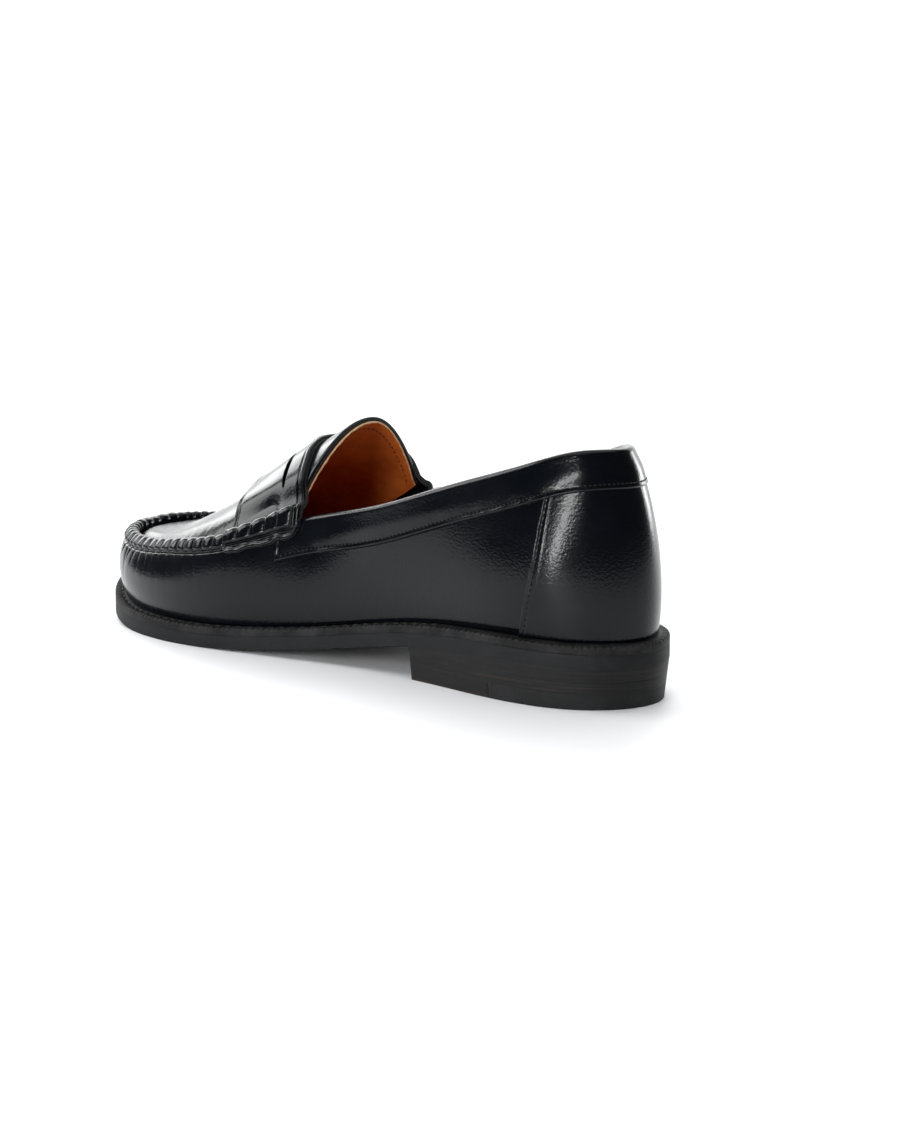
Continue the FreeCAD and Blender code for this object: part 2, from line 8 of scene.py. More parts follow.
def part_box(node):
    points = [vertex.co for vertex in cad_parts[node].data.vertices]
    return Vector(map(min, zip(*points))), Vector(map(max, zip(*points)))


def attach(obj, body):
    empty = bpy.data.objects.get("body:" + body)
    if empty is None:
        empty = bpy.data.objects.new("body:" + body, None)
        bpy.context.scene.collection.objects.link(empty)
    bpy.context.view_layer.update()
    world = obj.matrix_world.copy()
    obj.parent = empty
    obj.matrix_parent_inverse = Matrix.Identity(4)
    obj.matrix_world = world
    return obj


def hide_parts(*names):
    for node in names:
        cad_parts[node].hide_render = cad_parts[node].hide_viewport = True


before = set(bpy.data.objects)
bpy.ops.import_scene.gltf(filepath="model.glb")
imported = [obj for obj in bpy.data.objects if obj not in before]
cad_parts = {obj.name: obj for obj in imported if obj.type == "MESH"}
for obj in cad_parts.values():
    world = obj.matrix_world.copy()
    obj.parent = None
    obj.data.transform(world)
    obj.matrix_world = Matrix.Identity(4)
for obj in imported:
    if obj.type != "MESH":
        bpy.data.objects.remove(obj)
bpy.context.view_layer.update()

# Left penny loafer. Shapes are drawn in millimetres on the shoemaker's pattern, with x from the
# back of the heel to the toe, y to the outer side and z up, then turned into the frame's metres.

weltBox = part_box("welt")
pattern = {
    "length": 269.6, "width": 95.7,      # the size the tables are drawn at
    "heelHeight": 13.4, "breastHeight": 11.6, "heelLength": 82.0,
    "outsole": 4.6, "welt": 2.9, "film": 0.12,
    "leather": 1.5, "overlay": 1.2, "layerGap": 0.25,
    "axis": -3.0,                        # the shoe's own middle line, on the pattern's y
}
gradeX = (weltBox[1][1] - weltBox[0][1]) * 1000 / pattern["length"]
gradeY = (weltBox[1][0] - weltBox[0][0]) * 1000 / pattern["width"]
centreY = pattern["axis"] * gradeY


def fairCurve(knots, values, closed=False):
    # a cubic with continuous curvature; a closed one has one more knot than values
    k = np.asarray(knots, float)
    v = np.asarray(values, float)
    n = len(v)
    if closed:
        v = np.append(v, v[0])
    h = np.diff(k)
    rows = np.zeros((n, n))
    right = np.zeros(n)
    for i in range(n):
        if not closed and i in (0, n - 1):
            rows[i, i] = 1
            continue
        rows[i, i - 1] += h[i - 1]
        rows[i, i] += 2 * (h[i - 1] + h[i])
        rows[i, (i + 1) % n] += h[i]
        right[i] = 6 * ((v[i + 1] - v[i]) / h[i] - (v[i] - v[i - 1 if i else n - 1]) / h[i - 1])
    m = np.linalg.solve(rows, right)
    if closed:
        m = np.append(m, m[0])
    startSlope = (v[1] - v[0]) / h[0] - h[0] * (2 * m[0] + m[1]) / 6
    endSlope = (v[-1] - v[-2]) / h[-1] + h[-1] * (m[-2] + 2 * m[-1]) / 6

    def value(x):
        x = np.asarray(x, float)
        if closed:
            x = k[0] + np.mod(x - k[0], k[-1] - k[0])
        inside = np.clip(x, k[0], k[-1])
        i = np.clip(np.searchsorted(k, inside) - 1, 0, len(h) - 1)
        a = (k[i + 1] - inside) / h[i]
        b = 1 - a
        bend = ((a ** 3 - a) * m[i] + (b ** 3 - b) * m[i + 1]) * h[i] ** 2 / 6
        before = np.minimum(x - k[0], 0) * startSlope
        after = np.maximum(x - k[-1], 0) * endSlope
        return a * v[i] + b * v[i + 1] + bend + before + after

    return value


# The underside of the outsole: over the heel, down the waist, flat at the ball, up to the toe.
breast = pattern["breastHeight"]
archX = [-2, pattern["heelLength"] / gradeX, 105, 131, 152, 175, 200, 222, 240, 268]
archZ = [pattern["heelHeight"], breast, 0.71 * breast, 4.0, 1.7, 0.18, 0.03, 0.35, 2.6, 8.2]
soleArch = fairCurve([x * gradeX for x in archX], archZ)
soleStack = pattern["outsole"] + pattern["welt"] + 2 * pattern["film"]


def weltTop(x):
    return soleArch(x) + soleStack


# Heel back, outer side, toe, inner side. Edge of the welt (x, y), top edge of the wall (x, y,
# height over the welt), set-in of the feather line, swell low down (out, share of the height)
# and swell near the top (out, share).
stations = [
    (-1.6, 1.5, 13.7, 1.0, 61.4, 4.8, 3.0, 0.38, 7.0, 0.21),
    (7.0, 21.5, 19.2, 14.5, 61.3, 4.9, 3.0, 0.38, 5.5, 0.22),
    (33.0, 32.0, 36.9, 22.9, 55.6, 4.8, 3.5, 0.35, 3.0, 0.35),
    (66.0, 32.0, 66.0, 27.0, 47.6, 4.2, 3.0, 0.35, 2.0, 0.35),
    (100.0, 32.4, 100.0, 29.1, 41.1, 4.2, 2.5, 0.35, 1.5, 0.35),
    (131.0, 37.0, 133.0, 30.0, 39.1, 4.2, 3.0, 0.40, 2.5, 0.30),
    (160.0, 44.4, 163.0, 39.5, 33.4, 4.4, 3.5, 0.40, 3.5, 0.25),
    (192.0, 49.2, 194.0, 40.2, 28.4, 4.4, 3.5, 0.40, 5.0, 0.20),
    (222.0, 44.0, 221.0, 34.5, 24.9, 4.2, 4.0, 0.40, 6.0, 0.20),
    (242.0, 33.5, 236.5, 28.5, 23.8, 4.0, 4.4, 0.42, 5.0, 0.20),
    (258.5, 16.0, 247.0, 16.0, 22.8, 4.0, 4.6, 0.42, 5.5, 0.20),
    (268.0, -5.5, 251.0, -4.5, 22.1, 4.4, 4.4, 0.42, 7.0, 0.20),
    (259.0, -25.0, 245.0, -16.0, 23.1, 4.6, 4.2, 0.40, 6.0, 0.20),
    (241.0, -37.0, 235.0, -25.0, 25.2, 4.6, 4.0, 0.40, 5.0, 0.20),
    (220.0, -43.5, 219.0, -31.0, 28.2, 4.6, 3.5, 0.40, 5.0, 0.20),
    (196.0, -46.5, 194.0, -36.0, 32.4, 4.6, 3.5, 0.40, 4.0, 0.20),
    (166.0, -41.0, 164.0, -36.0, 37.1, 4.4, 3.5, 0.40, 3.0, 0.25),
    (136.0, -30.5, 134.0, -28.5, 42.8, 4.2, 3.0, 0.40, 2.0, 0.30),
    (104.0, -24.0, 104.0, -25.8, 43.9, 4.0, 2.0, 0.35, 1.5, 0.35),
    (68.0, -26.5, 66.0, -24.4, 49.0, 4.0, 3.0, 0.35, 2.0, 0.35),
    (34.0, -26.8, 37.4, -19.4, 56.7, 4.7, 3.5, 0.35, 3.0, 0.35),
    (8.0, -17.0, 22.3, -11.2, 60.7, 4.8, 3.0, 0.38, 6.5, 0.21),
]
graded = np.array(stations) * [gradeX, gradeY, gradeX, gradeY, 1, 1, 1, 1, 1, 1]
steps = np.hypot(*(np.roll(graded[:, :2], -1, axis=0) - graded[:, :2]).T)
around = np.concatenate([[0], np.cumsum(steps)])
girth = around[-1]
columns = [fairCurve(around, graded[:, i], True) for i in range(10)]
toeRow = 11
toeStation = around[toeRow]


def edgeLine(s, inset=0.0):
    # the welt's edge at the distance s round the shoe, moved in, and the way out
    tx = columns[0](s + 0.5) - columns[0](s - 0.5)
    ty = columns[1](s + 0.5) - columns[1](s - 0.5)
    size = np.hypot(tx, ty)
    outX = -ty / size
    outY = tx / size
    return columns[0](s) - outX * inset, columns[1](s) - outY * inset, outX, outY


def wallMiddle(s, t):
    s, t = np.broadcast_arrays(np.asarray(s, float), np.asarray(t, float))
    lowOut, lowUp, highOut, highDown = [column(s) for column in columns[6:]]
    fx, fy, outX, outY = edgeLine(s, columns[5](s))
    fz = weltTop(fx) + pattern["film"]
    tx, ty, rise = [column(s) for column in columns[2:5]]
    tz = weltTop(tx) + rise
    height = tz - fz
    poles = [
        (fx, fy, fz),
        (fx + outX * lowOut, fy + outY * lowOut, fz + lowUp * height),
        (tx + outX * highOut, ty + outY * highOut, tz - highDown * height),
        (tx, ty, tz),
    ]
    share = [(1 - t) ** 3, 3 * t * (1 - t) ** 2, 3 * t * t * (1 - t), t ** 3]
    return np.stack([sum(w * p[i] for w, p in zip(share, poles)) for i in range(3)], -1)


def wallNormal(s, t):
    along = wallMiddle(s + 0.5, t) - wallMiddle(s - 0.5, t)
    up = wallMiddle(s, t + 0.01) - wallMiddle(s, np.maximum(t - 0.01, 0))
    normal = np.cross(up, along)
    return normal / np.linalg.norm(normal, axis=-1, keepdims=True)


def wall(s, t, out=0.0):
    return wallMiddle(s, t) + wallNormal(s, t) * np.asarray(out, float)[..., None]


def search(reach, x, side):
    # the distance round the shoe at which reach(s) passes x, on the outer (1) or inner (-1) side
    low = 0.0 if side > 0 else girth
    high = toeStation
    for _ in range(40):
        middle = (low + high) / 2
        if reach(middle) < x:
            low = middle
        else:
            high = middle
    return (low + high) / 2


def placeAt(x, side, t=0.7):
    return search(lambda s: wallMiddle(s, t)[0], x * gradeX, side)


def edgeAt(x, side):
    return search(columns[0], x, side)


# The apron's side borders and its height over the welt, at the borders and along the crown.
instepX = [value * gradeX for value in (130, 148, 163, 194, 220, 240, 255)]
outerY = fairCurve(instepX, [y * gradeY for y in (31.0, 35.5, 39.6, 40.2, 34.0, 28.0, 23.0)])
innerY = fairCurve(instepX, [y * gradeY for y in (-29.5, -33.5, -36.0, -36.0, -30.8, -25, -21)])
outerRise = fairCurve(instepX, (39.5, 36.8, 32.9, 27.6, 24.2, 23.0, 20.4))
innerRise = fairCurve(instepX, (43.8, 39.6, 36.8, 31.9, 27.8, 24.2, 20.4))
crownX = [value * gradeX for value in (120, 138, 160, 172, 188, 205, 220, 235, 246, 258)]
crownRise = fairCurve(crownX, (79, 71.5, 60.6, 53.6, 44.3, 35.8, 29.7, 24.5, 21.3, 18.6))


def arch(x, y):
    # height of the apron's outer face
    outer = y > centreY
    sideY = np.where(outer, outerY(x), innerY(x))
    rise = np.where(outer, outerRise(x), innerRise(x))
    across = np.abs((y - centreY) / (sideY - centreY))
    return weltTop(x) + crownRise(x) - (crownRise(x) - rise) * across ** 2.1


borderX, borderY = edgeLine(np.linspace(0, girth, 720))[:2]
middleX = (borderX.min() + borderX.max()) / 2
middleY = (borderY.min() + borderY.max()) / 2


def toFrame(p):
    p = np.asarray(p, float)
    return np.stack([p[..., 1] - middleY, middleX - p[..., 0], p[..., 2]], -1) * 0.001


# Shader nodes. A wire is a socket that can be added, multiplied and so on in plain sums.
class Wire:
    def __init__(self, finish, socket):
        self.finish = finish
        self.socket = socket

    def sum(self, operation, other, swap=False):
        pair = (other, self) if swap else (self, other)
        return self.finish.node("ShaderNodeMath", {"operation": operation}, dict(enumerate(pair)))

    def __add__(self, other):
        return self.sum("ADD", other)

    def __sub__(self, other):
        return self.sum("SUBTRACT", other)

    def __rsub__(self, other):
        return self.sum("SUBTRACT", other, True)

    def __mul__(self, other):
        return self.sum("MULTIPLY", other)

    __radd__ = __add__
    __rmul__ = __mul__


class Finish:
    def __init__(self, name, colour, roughness, fixed):
        self.material = bpy.data.materials.new(name)
        self.material.use_nodes = True
        self.material.diffuse_color = (*colour, 1)
        self.tree = self.material.node_tree
        self.shader = self.tree.nodes["Principled BSDF"]
        self.set("Base Color", (*colour, 1))
        self.set("Roughness", roughness)
        for socket, value in fixed.items():
            self.set(socket, value)
        self.place = self.node("ShaderNodeTexCoord", {}, {}, "Object")

    def set(self, name, value):
        if isinstance(value, Wire):
            self.tree.links.new(value.socket, self.shader.inputs[name])
        else:
            self.shader.inputs[name].default_value = value

    def node(self, kind, settings, inputs, output=0):
        made = self.tree.nodes.new(kind)
        for key, value in settings.items():
            setattr(made, key, value)
        for key, value in inputs.items():
            if isinstance(value, Wire):
                self.tree.links.new(value.socket, made.inputs[key])
            else:
                made.inputs[key].default_value = value
        return Wire(self, made.outputs[output])

    def stretched(self, scale):
        return self.node("ShaderNodeMapping", {}, {"Vector": self.place, "Scale": scale})

    def noise(self, scale, detail=3.0, rough=0.5, vector=None):
        inputs = {"Vector": vector or self.place, "Scale": scale, "Detail": detail, "Roughness": rough}
        return self.node("ShaderNodeTexNoise", {}, inputs)

    def cells(self, scale):
        inputs = {"Vector": self.place, "Scale": scale}
        return self.node("ShaderNodeTexVoronoi", {"feature": "F1"}, inputs, "Distance")

    def spread(self, value, low, high):
        inputs = {0: value, 1: low, 2: high, 3: 0.0, 4: 1.0}
        return self.node("ShaderNodeMapRange", {"clamp": True}, inputs)

    def tint(self, share, first, second):
        # sockets 0, 6, 7 and output 2 are the colour ones of this node
        first, second = [c if isinstance(c, Wire) else (*c, 1) for c in (first, second)]
        return self.node("ShaderNodeMix", {"data_type": "RGBA"}, {0: share, 6: first, 7: second}, 2)

    def bump(self, height, distance):
        self.set("Normal", self.node("ShaderNodeBump", {}, {"Height": height, "Distance": distance}))


def polishedLeather(name, look):
    f = Finish(name, look["colour"], look["roughness"], {
        "Specular IOR Level": look["specular"], "Coat Weight": look["coat"],
        "Coat Roughness": look["coatRough"], "Coat IOR": 1.5,
    })
    pores = f.cells(look["grain"])
    fine = f.noise(look["grain"] * 1.7, 2.0, 0.6)
    soft = f.noise(90.0, 2.0, 0.5)
    wear = f.noise(28.0, 4.0, 0.6)
    f.set("Base Color", f.tint(f.spread(wear, 0.42, 0.75), look["colour"], look["worn"]))
    f.set("Roughness", look["roughness"] + 0.10 * f.spread(wear, 0.4, 0.8) + 0.06 * fine)
    peel = f.noise(1150.0, 1.0, 0.4)
    f.bump(pores * 0.4 + fine * 0.3 + peel * 1.3 + soft * 0.25, look["relief"])
    return f.material


def liningLeather(name, look):
    f = Finish(name, look["colour"], 0.6, {"Specular IOR Level": 0.15})
    mottle = f.noise(60.0, 5.0, 0.6)
    pores = f.cells(900.0)
    f.set("Base Color", f.tint(f.spread(mottle, 0.35, 0.7), look["colour"], look["deep"]))
    f.set("Roughness", 0.5 + 0.2 * mottle)
    f.bump(f.spread(pores, 0.0, 0.6) * 0.6 + mottle, 0.00012)
    return f.material


def grained(name, look, first, second, roughness, specular, grain, relief):
    # two colours mixed by one fine noise: scale, detail, roughness, low, high
    f = Finish(name, look, roughness, {"Specular IOR Level": specular})
    scale, detail, rough, low, high = grain
    fibre = f.noise(scale, detail, rough)
    f.set("Base Color", f.tint(f.spread(fibre, low, high), first, second))
    f.bump(fibre, relief)
    return f.material


def cutEdge(name, light, dark):
    return grained(name, light, dark, light, 0.85, 0.25, (1500.0, 3.0, 0.7, 0.35, 0.65), 0.00012)


def waxedThread(name, colour, light):
    return grained(name, colour, colour, light, 0.5, 0.2, (2500.0, 1.0, 0.5, 0.4, 0.7), 0.00008)


def soleRubber(name, look):
    f = Finish(name, look["colour"], 0.6, {"Specular IOR Level": 0.22})
    speck = f.noise(1400.0, 2.0, 0.7)
    cloud = f.noise(70.0, 4.0, 0.6)
    scuff = f.noise(1.0, 4.0, 0.6, f.stretched((120.0, 120.0, 900.0)))
    dust = f.spread(speck, 0.62, 0.78) * 0.5 + f.spread(cloud, 0.45, 0.8) * 0.5
    f.set("Base Color", f.tint(dust, look["colour"], look["dust"]))
    f.set("Roughness", 0.5 + 0.25 * cloud)
    f.bump(speck * 0.6 + scuff, look["relief"])
    return f.material


def stackedHeel(name, look):
    # pressed lifts, seen as fine level lines with a few warm streaks where the ink is thin
    f = Finish(name, look["colour"], 0.5, {"Specular IOR Level": 0.22})
    lines = f.noise(1.0, 3.0, 0.65, f.stretched((25.0, 25.0, 2600.0)))
    broad = f.noise(1.0, 2.0, 0.5, f.stretched((14.0, 14.0, 620.0)))
    grit = f.noise(1500.0, 2.0, 0.7)
    base = f.tint(f.spread(lines, 0.35, 0.7), look["colour"], look["line"])
    streak = f.spread(lines * broad, 0.36, 0.44)
    f.set("Base Color", f.tint(streak * 0.7, base, look["warm"]))
    f.set("Roughness", 0.42 + 0.25 * lines)
    f.bump(lines + grit * 0.5, look["relief"])
    return f.material


def paleFloor(name):
    f = Finish(name, (0.86, 0.86, 0.87), 0.55, {"Specular IOR Level": 0.3})
    f.set("Roughness", 0.5 + 0.1 * f.noise(30.0, 3.0))
    return f.material


blackLook = {
    "colour": (0.0015, 0.0022, 0.0034), "worn": (0.0028, 0.0038, 0.0055), "roughness": 0.13,
    "specular": 0.23, "coat": 0.03, "coatRough": 0.08, "grain": 1300.0, "relief": 0.00004,
}
upperLeather = polishedLeather("upperLeather", blackLook)
tanLeather = liningLeather("tanLeather", {"colour": (0.50, 0.135, 0.024), "deep": (0.34, 0.075, 0.011)})
blackEdge = cutEdge("blackEdge", (0.035, 0.036, 0.037), (0.010, 0.010, 0.011))
creamEdge = cutEdge("creamEdge", (0.72, 0.50, 0.30), (0.50, 0.30, 0.15))
outsoleRubber = soleRubber("outsoleRubber", {
    "colour": (0.0065, 0.0068, 0.0075), "dust": (0.02, 0.02, 0.0215), "relief": 0.0001})
weltLeather = soleRubber("weltLeather", {
    "colour": (0.003, 0.003, 0.0034), "dust": (0.05, 0.05, 0.052), "relief": 0.00012})
heelStack = stackedHeel("heelStack", {
    "colour": (0.0045, 0.0046, 0.005), "line": (0.012, 0.0118, 0.0116), "warm": (0.05, 0.034, 0.021),
    "relief": 0.00016})
heelRubber = soleRubber("heelRubber", {
    "colour": (0.009, 0.0092, 0.0098), "dust": (0.04, 0.04, 0.041), "relief": 0.00016})
blackThread = waxedThread("blackThread", (0.004, 0.004, 0.0045), (0.016, 0.016, 0.017))
brownThread = waxedThread("brownThread", (0.05, 0.018, 0.008), (0.14, 0.06, 0.025))
print("finishes ready")


# Meshes.
def addObject(name, data):
    made = bpy.data.objects.new(name, data)
    bpy.context.scene.collection.objects.link(made)
    return made


def addMesh(name, points, faces):
    mesh = bpy.data.meshes.new(name)
    mesh.from_pydata(points, [], faces)
    return mesh


def gridFaces(rows, cols, first=0, closed=False):
    faces = []
    for i in range(rows - 1):
        low = first + i * cols
        high = low + cols
        for j in range(cols if closed else cols - 1):
            k = (j + 1) % cols
            faces.append((low + j, low + k, high + k, high + j))
    return faces


def settleNormals(piece):
    # join points that touch and turn every face outward
    work = bmesh.new()
    work.from_mesh(piece.data)
    bmesh.ops.remove_doubles(work, verts=work.verts, dist=0.000002)
    bmesh.ops.recalc_face_normals(work, faces=work.faces)
    work.to_mesh(piece.data)
    work.free()
    piece.data.update()


def addPiece(name, points, faces, materials, stands, faceMaterials=None):
    mesh = addMesh(name, toFrame(points).reshape(-1, 3).tolist(), faces)
    for material in materials:
        mesh.materials.append(material)
    mesh.polygons.foreach_set("use_smooth", [True] * len(mesh.polygons))
    if faceMaterials is not None:
        mesh.polygons.foreach_set("material_index", faceMaterials)
    piece = addObject(name, mesh)
    settleNormals(piece)
    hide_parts(*stands)
    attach(piece, "root")
    return piece


def hide(name, outer, inner, materials, stands):
    # a closed piece of leather between two grids; its cut edge takes the last material
    rows, cols = outer.shape[:2]
    points = np.concatenate([outer.reshape(-1, 3), inner.reshape(-1, 3)])
    size = rows * cols
    faces = gridFaces(rows, cols)
    faces += [tuple(size + v for v in face[::-1]) for face in gridFaces(rows, cols)]
    flat = len(faces)
    rim = [i * cols for i in range(rows)] + [(rows - 1) * cols + j for j in range(1, cols)]
    rim += [i * cols + cols - 1 for i in range(rows - 2, -1, -1)] + list(range(cols - 2, 0, -1))
    for a, b in zip(rim, rim[1:] + rim[:1]):
        faces.append((a, a + size, b + size, b)[::-1])
    index = [0] * flat + [len(materials) - 1] * (len(faces) - flat)
    return addPiece(name, points, faces, materials, stands, index)


def edgeSpacing(length, step, radius, both=True):
    # distances along a strip, closer together where its edges are rounded
    close = [0.0, 0.12 * radius, 0.35 * radius, 0.7 * radius, 1.1 * radius, 1.8 * radius]
    count = max(4, int((length - 4 * radius) / step))
    if not both:
        return np.array(close + list(np.linspace(3 * radius, length, count)))
    far = [length - c for c in close[::-1]]
    return np.array(close + list(np.linspace(3 * radius, length - 3 * radius, count)) + far)


def roundOff(distance, radius):
    # how far a rounded edge falls away at a distance from the cut
    near = np.clip(radius - distance, 0, radius)
    return radius - np.sqrt(radius ** 2 - near ** 2)


def lump(x, place, width):
    # a soft rise of 1 at a place; a soft groove when it is taken away
    return np.exp(-((x - place) / width) ** 2)


def runAlong(points):
    # how far along a row of points each one lies
    steps = np.linalg.norm(np.diff(points, axis=0), axis=-1)
    return np.concatenate([np.zeros((1, *steps.shape[1:])), np.cumsum(steps, axis=0)])


def smoothStep(x, low, high):
    u = np.clip((x - low) / (high - low), 0, 1)
    return u * u * (3 - 2 * u)


def offsetGrid(p, distance):
    du = np.gradient(p, axis=1)
    dv = np.gradient(p, axis=0)
    normal = np.cross(du, dv)
    normal /= np.maximum(np.linalg.norm(normal, axis=-1, keepdims=True), 1e-9)
    return p + normal * np.asarray(distance)[..., None]


# Places on the wall.
collarEndOuter = placeAt(145, 1)
collarEndInner = placeAt(142, -1)
seamTopOuter = placeAt(26.5, 1)
seamFootOuter = placeAt(34, 1, 0.1)
seamTopInner = placeAt(29, -1) - girth
seamFootInner = placeAt(37, -1, 0.1) - girth


def endSeams(share):
    # where the heel cover's two slanted edges run, from the foot (0) to the top (1)
    outer = seamFootOuter + (seamTopOuter - seamFootOuter) * share
    inner = seamFootInner + (seamTopInner - seamFootInner) * share
    return inner, outer


def shareAtDistance(s, down):
    # the share of the wall's height found at each distance down from its top edge
    s = np.asarray(s, float)
    down = np.broadcast_to(np.asarray(down, float), (np.shape(down)[0], len(s)))
    t = np.linspace(1.2, 0, 73)      # a little past the top, for what stands above it
    top = 12                         # the row where t is 1
    run = runAlong(wallMiddle(s[None, :], t[:, None]))
    run = run - run[top]
    return np.stack([np.interp(down[:, j], run[:, j], t) for j in range(len(s))], 1), run[-1]


def rollOver(s, down, radius, sink, out, arc):
    # points on a wall that rolls inward over its top edge: `down` rows below the roll, then `arc`
    # angles round it. `sink` keeps the crown below the wall's own top.
    start = np.broadcast_to(np.asarray(sink, float) + radius, s.shape)
    out = np.broadcast_to(np.asarray(out, float), s.shape)
    share, _ = shareAtDistance(s, start[None, :] + np.asarray(down)[:, None])
    low = wall(s[None, :], share, out[None, :])
    first, _ = shareAtDistance(s, start[None, :])
    base = wall(s[None, :], first, out[None, :])[0]
    normal = wallNormal(s, first[0])
    along = wallMiddle(s + 0.5, first[0]) - wallMiddle(s - 0.5, first[0])
    along /= np.linalg.norm(along, axis=-1, keepdims=True)
    up = np.cross(along, normal)
    up *= np.sign(up[:, 2:3])
    centre = base - normal * radius
    angle = np.asarray(arc, float)[:, None, None]
    ring = centre[None] + normal[None] * radius * np.cos(angle) + up[None] * radius * np.sin(angle)
    ringNormal = normal[None] * np.cos(angle) + up[None] * np.sin(angle)
    lowNormal = wallNormal(s[None, :] + 0 * share, share)
    return np.concatenate([low, ring]), np.concatenate([lowNormal, ringNormal]), centre, normal, up


random = np.random.default_rng(7)


# Moccasin seam: the vamp's top edge is gathered into a ridge of small pillows, one to a stitch.
vampLook = {
    "pitch": 5.3, "jitter": 0.08,        # pillows along the seam
    "band": 4.9, "proud": 1.15,          # height of the pillows and how far they stand out
    "roll": 1.35, "groove": 0.7,
    "crease": 0.45, "creaseLength": 4.5,
    "step": 0.62,
}
ridgeStart = placeAt(161.5, 1, 1.0)
ridgeEnd = placeAt(160, -1, 1.0)
seamCount = int((ridgeEnd - ridgeStart) / vampLook["pitch"])
seamSteps = 1 + vampLook["jitter"] * random.standard_normal(seamCount)
seamRun = np.concatenate([[0], np.cumsum(seamSteps)])
seamPlaces = ridgeStart + seamRun * (ridgeEnd - ridgeStart) / seamSteps.sum()
seamDepth = 0.75 + 0.5 * random.random(len(seamPlaces))
seamSlant = random.uniform(-0.35, 0.35, len(seamPlaces))
seamReach = vampLook["creaseLength"] * random.uniform(0.6, 1.5, len(seamPlaces))
pillowSize = random.uniform(0.85, 1.15, len(seamPlaces))


def ridgeShare(s):
    return smoothStep(s, ridgeStart - 3, ridgeStart + 1) * (1 - smoothStep(s, ridgeEnd - 1, ridgeEnd + 3))


def pillow(s):
    # 0 in a groove, rising steeply to a rounded 1 between two grooves
    i = np.clip(np.searchsorted(seamPlaces, s) - 1, 0, len(seamPlaces) - 2)
    p = np.clip((s - seamPlaces[i]) / (seamPlaces[i + 1] - seamPlaces[i]), 0, 1)
    return (4 * p * (1 - p)) ** 0.38, pillowSize[i]


def makeVamp():
    look = vampLook
    s = np.linspace(0.4, girth - 0.4, int(girth / look["step"]))
    front = ridgeShare(s)
    roll = look["roll"]
    insideDown = np.array([0.7, 1.5, 2.5, 3.6, 4.8])
    sink = 1.6 * (1 - front)
    _, tall = shareAtDistance(s, np.zeros((1, len(s))))
    top = roll + sink
    near = np.concatenate([np.arange(0, 8, 0.34), np.arange(8, 15, 0.75)])
    count = 16
    rest = tall - top - near[-1]
    lower = near[-1] + rest[None, :] * (np.arange(1, count + 1)[:, None] / count)
    down = np.concatenate([lower[::-1], np.repeat(near[::-1, None], len(s), 1)])
    share, _ = shareAtDistance(s, down + top[None, :])
    flat = wall(s[None, :], share, 0.0)
    normals = wallNormal(s[None, :] + 0 * share, share)
    arc = np.linspace(0, math.pi, 15)[1:]
    ring, ringNormal, centre, normal, up = rollOver(s, np.zeros(0), roll, sink, 0.0, arc)
    inside = centre[None] - normal[None] * roll - up[None] * insideDown[:, None, None]
    insideNormal = np.broadcast_to(-normal[None], inside.shape)
    points = np.concatenate([flat, ring, inside])
    normals = np.concatenate([normals, ringNormal, insideNormal])
    # distance up the band, from its lower edge
    over = np.concatenate([arc * roll, math.pi * roll + insideDown])
    climb = np.concatenate([-down, np.repeat(over[:, None], len(s), 1)])
    climb = climb + look["band"] - roll
    bulge, size = pillow(s)
    lowEdge = 0.35 * (1 - bulge)
    rise = np.clip((climb - lowEdge[None, :]) / 1.3, 0, 1)
    rise = np.sqrt(1 - (1 - rise) ** 2)
    inner = np.clip((climb - 8.2) / 2.5, 0, 1)
    swell = look["proud"] * (0.12 + 0.88 * bulge * size) * rise * (1 - 0.5 * inner)
    swell -= look["groove"] * lump(climb, -0.25, 0.45)
    # creases fan out below each stitch and a soft swelling lies between them
    below = np.clip(-climb, 0, None)
    toe = 0.35 + 0.65 * smoothStep(columns[0](s), 205 * gradeX, 240 * gradeX)
    under = climb < 0
    for place, depth, slant, reach in zip(seamPlaces, seamDepth, seamSlant, seamReach):
        aside = s[None, :] - place - slant * below
        line = lump(aside, 0, 0.38 + 0.10 * below) * np.exp(-below / reach)
        swell -= look["crease"] * depth * toe * line * under
    soft = np.exp(-below / 2.5) * (1 - np.exp(-below / 0.5))
    swell += 0.22 * toe * (bulge ** 2)[None, :] * soft * under
    slow = 0.10 * np.sin(s / 9.0 + 1.0) + 0.07 * np.sin(s / 3.7)
    swell += slow[None, :] * lump(climb, 0, 6) * toe
    points = points + normals * (swell * front[None, :])[..., None]
    innerShare = np.linspace(0, 1, len(points))
    foot = np.where(innerShare < 0.9, innerShare / 0.9 * 0.93, 0.93)
    back = wall(s[None, :], foot[:, None] + 0 * s[None, :], -pattern["leather"])
    blend = smoothStep(innerShare, 0.88, 1.0)[:, None, None]
    back = back * (1 - blend) + points[-1:] * blend
    hide("vampSkin", points, back, [upperLeather], ["vamp"])


def tube(path, radius, sides=8):
    # a short piece of thread along a line of points, tapered at both ends
    path = np.asarray(path, float)
    way = np.gradient(path, axis=0)
    way /= np.linalg.norm(way, axis=1, keepdims=True)
    side = np.cross(way, [0.13, 0.21, 0.97])
    side /= np.linalg.norm(side, axis=1, keepdims=True)
    other = np.cross(way, side)
    angle = np.linspace(0, 2 * math.pi, sides, endpoint=False)
    size = radius * np.sqrt(np.clip(1 - np.abs(np.linspace(-1, 1, len(path))) ** 4, 0.02, 1))
    cos, sin = [turn(angle)[None, :, None] for turn in (np.cos, np.sin)]
    rings = path[:, None] + (side[:, None] * cos + other[:, None] * sin) * size[:, None, None]
    faces = gridFaces(len(path), sides, 0, True)
    faces += [tuple(range(sides))[::-1], tuple((len(path) - 1) * sides + k for k in range(sides))]
    return rings.reshape(-1, 3), faces


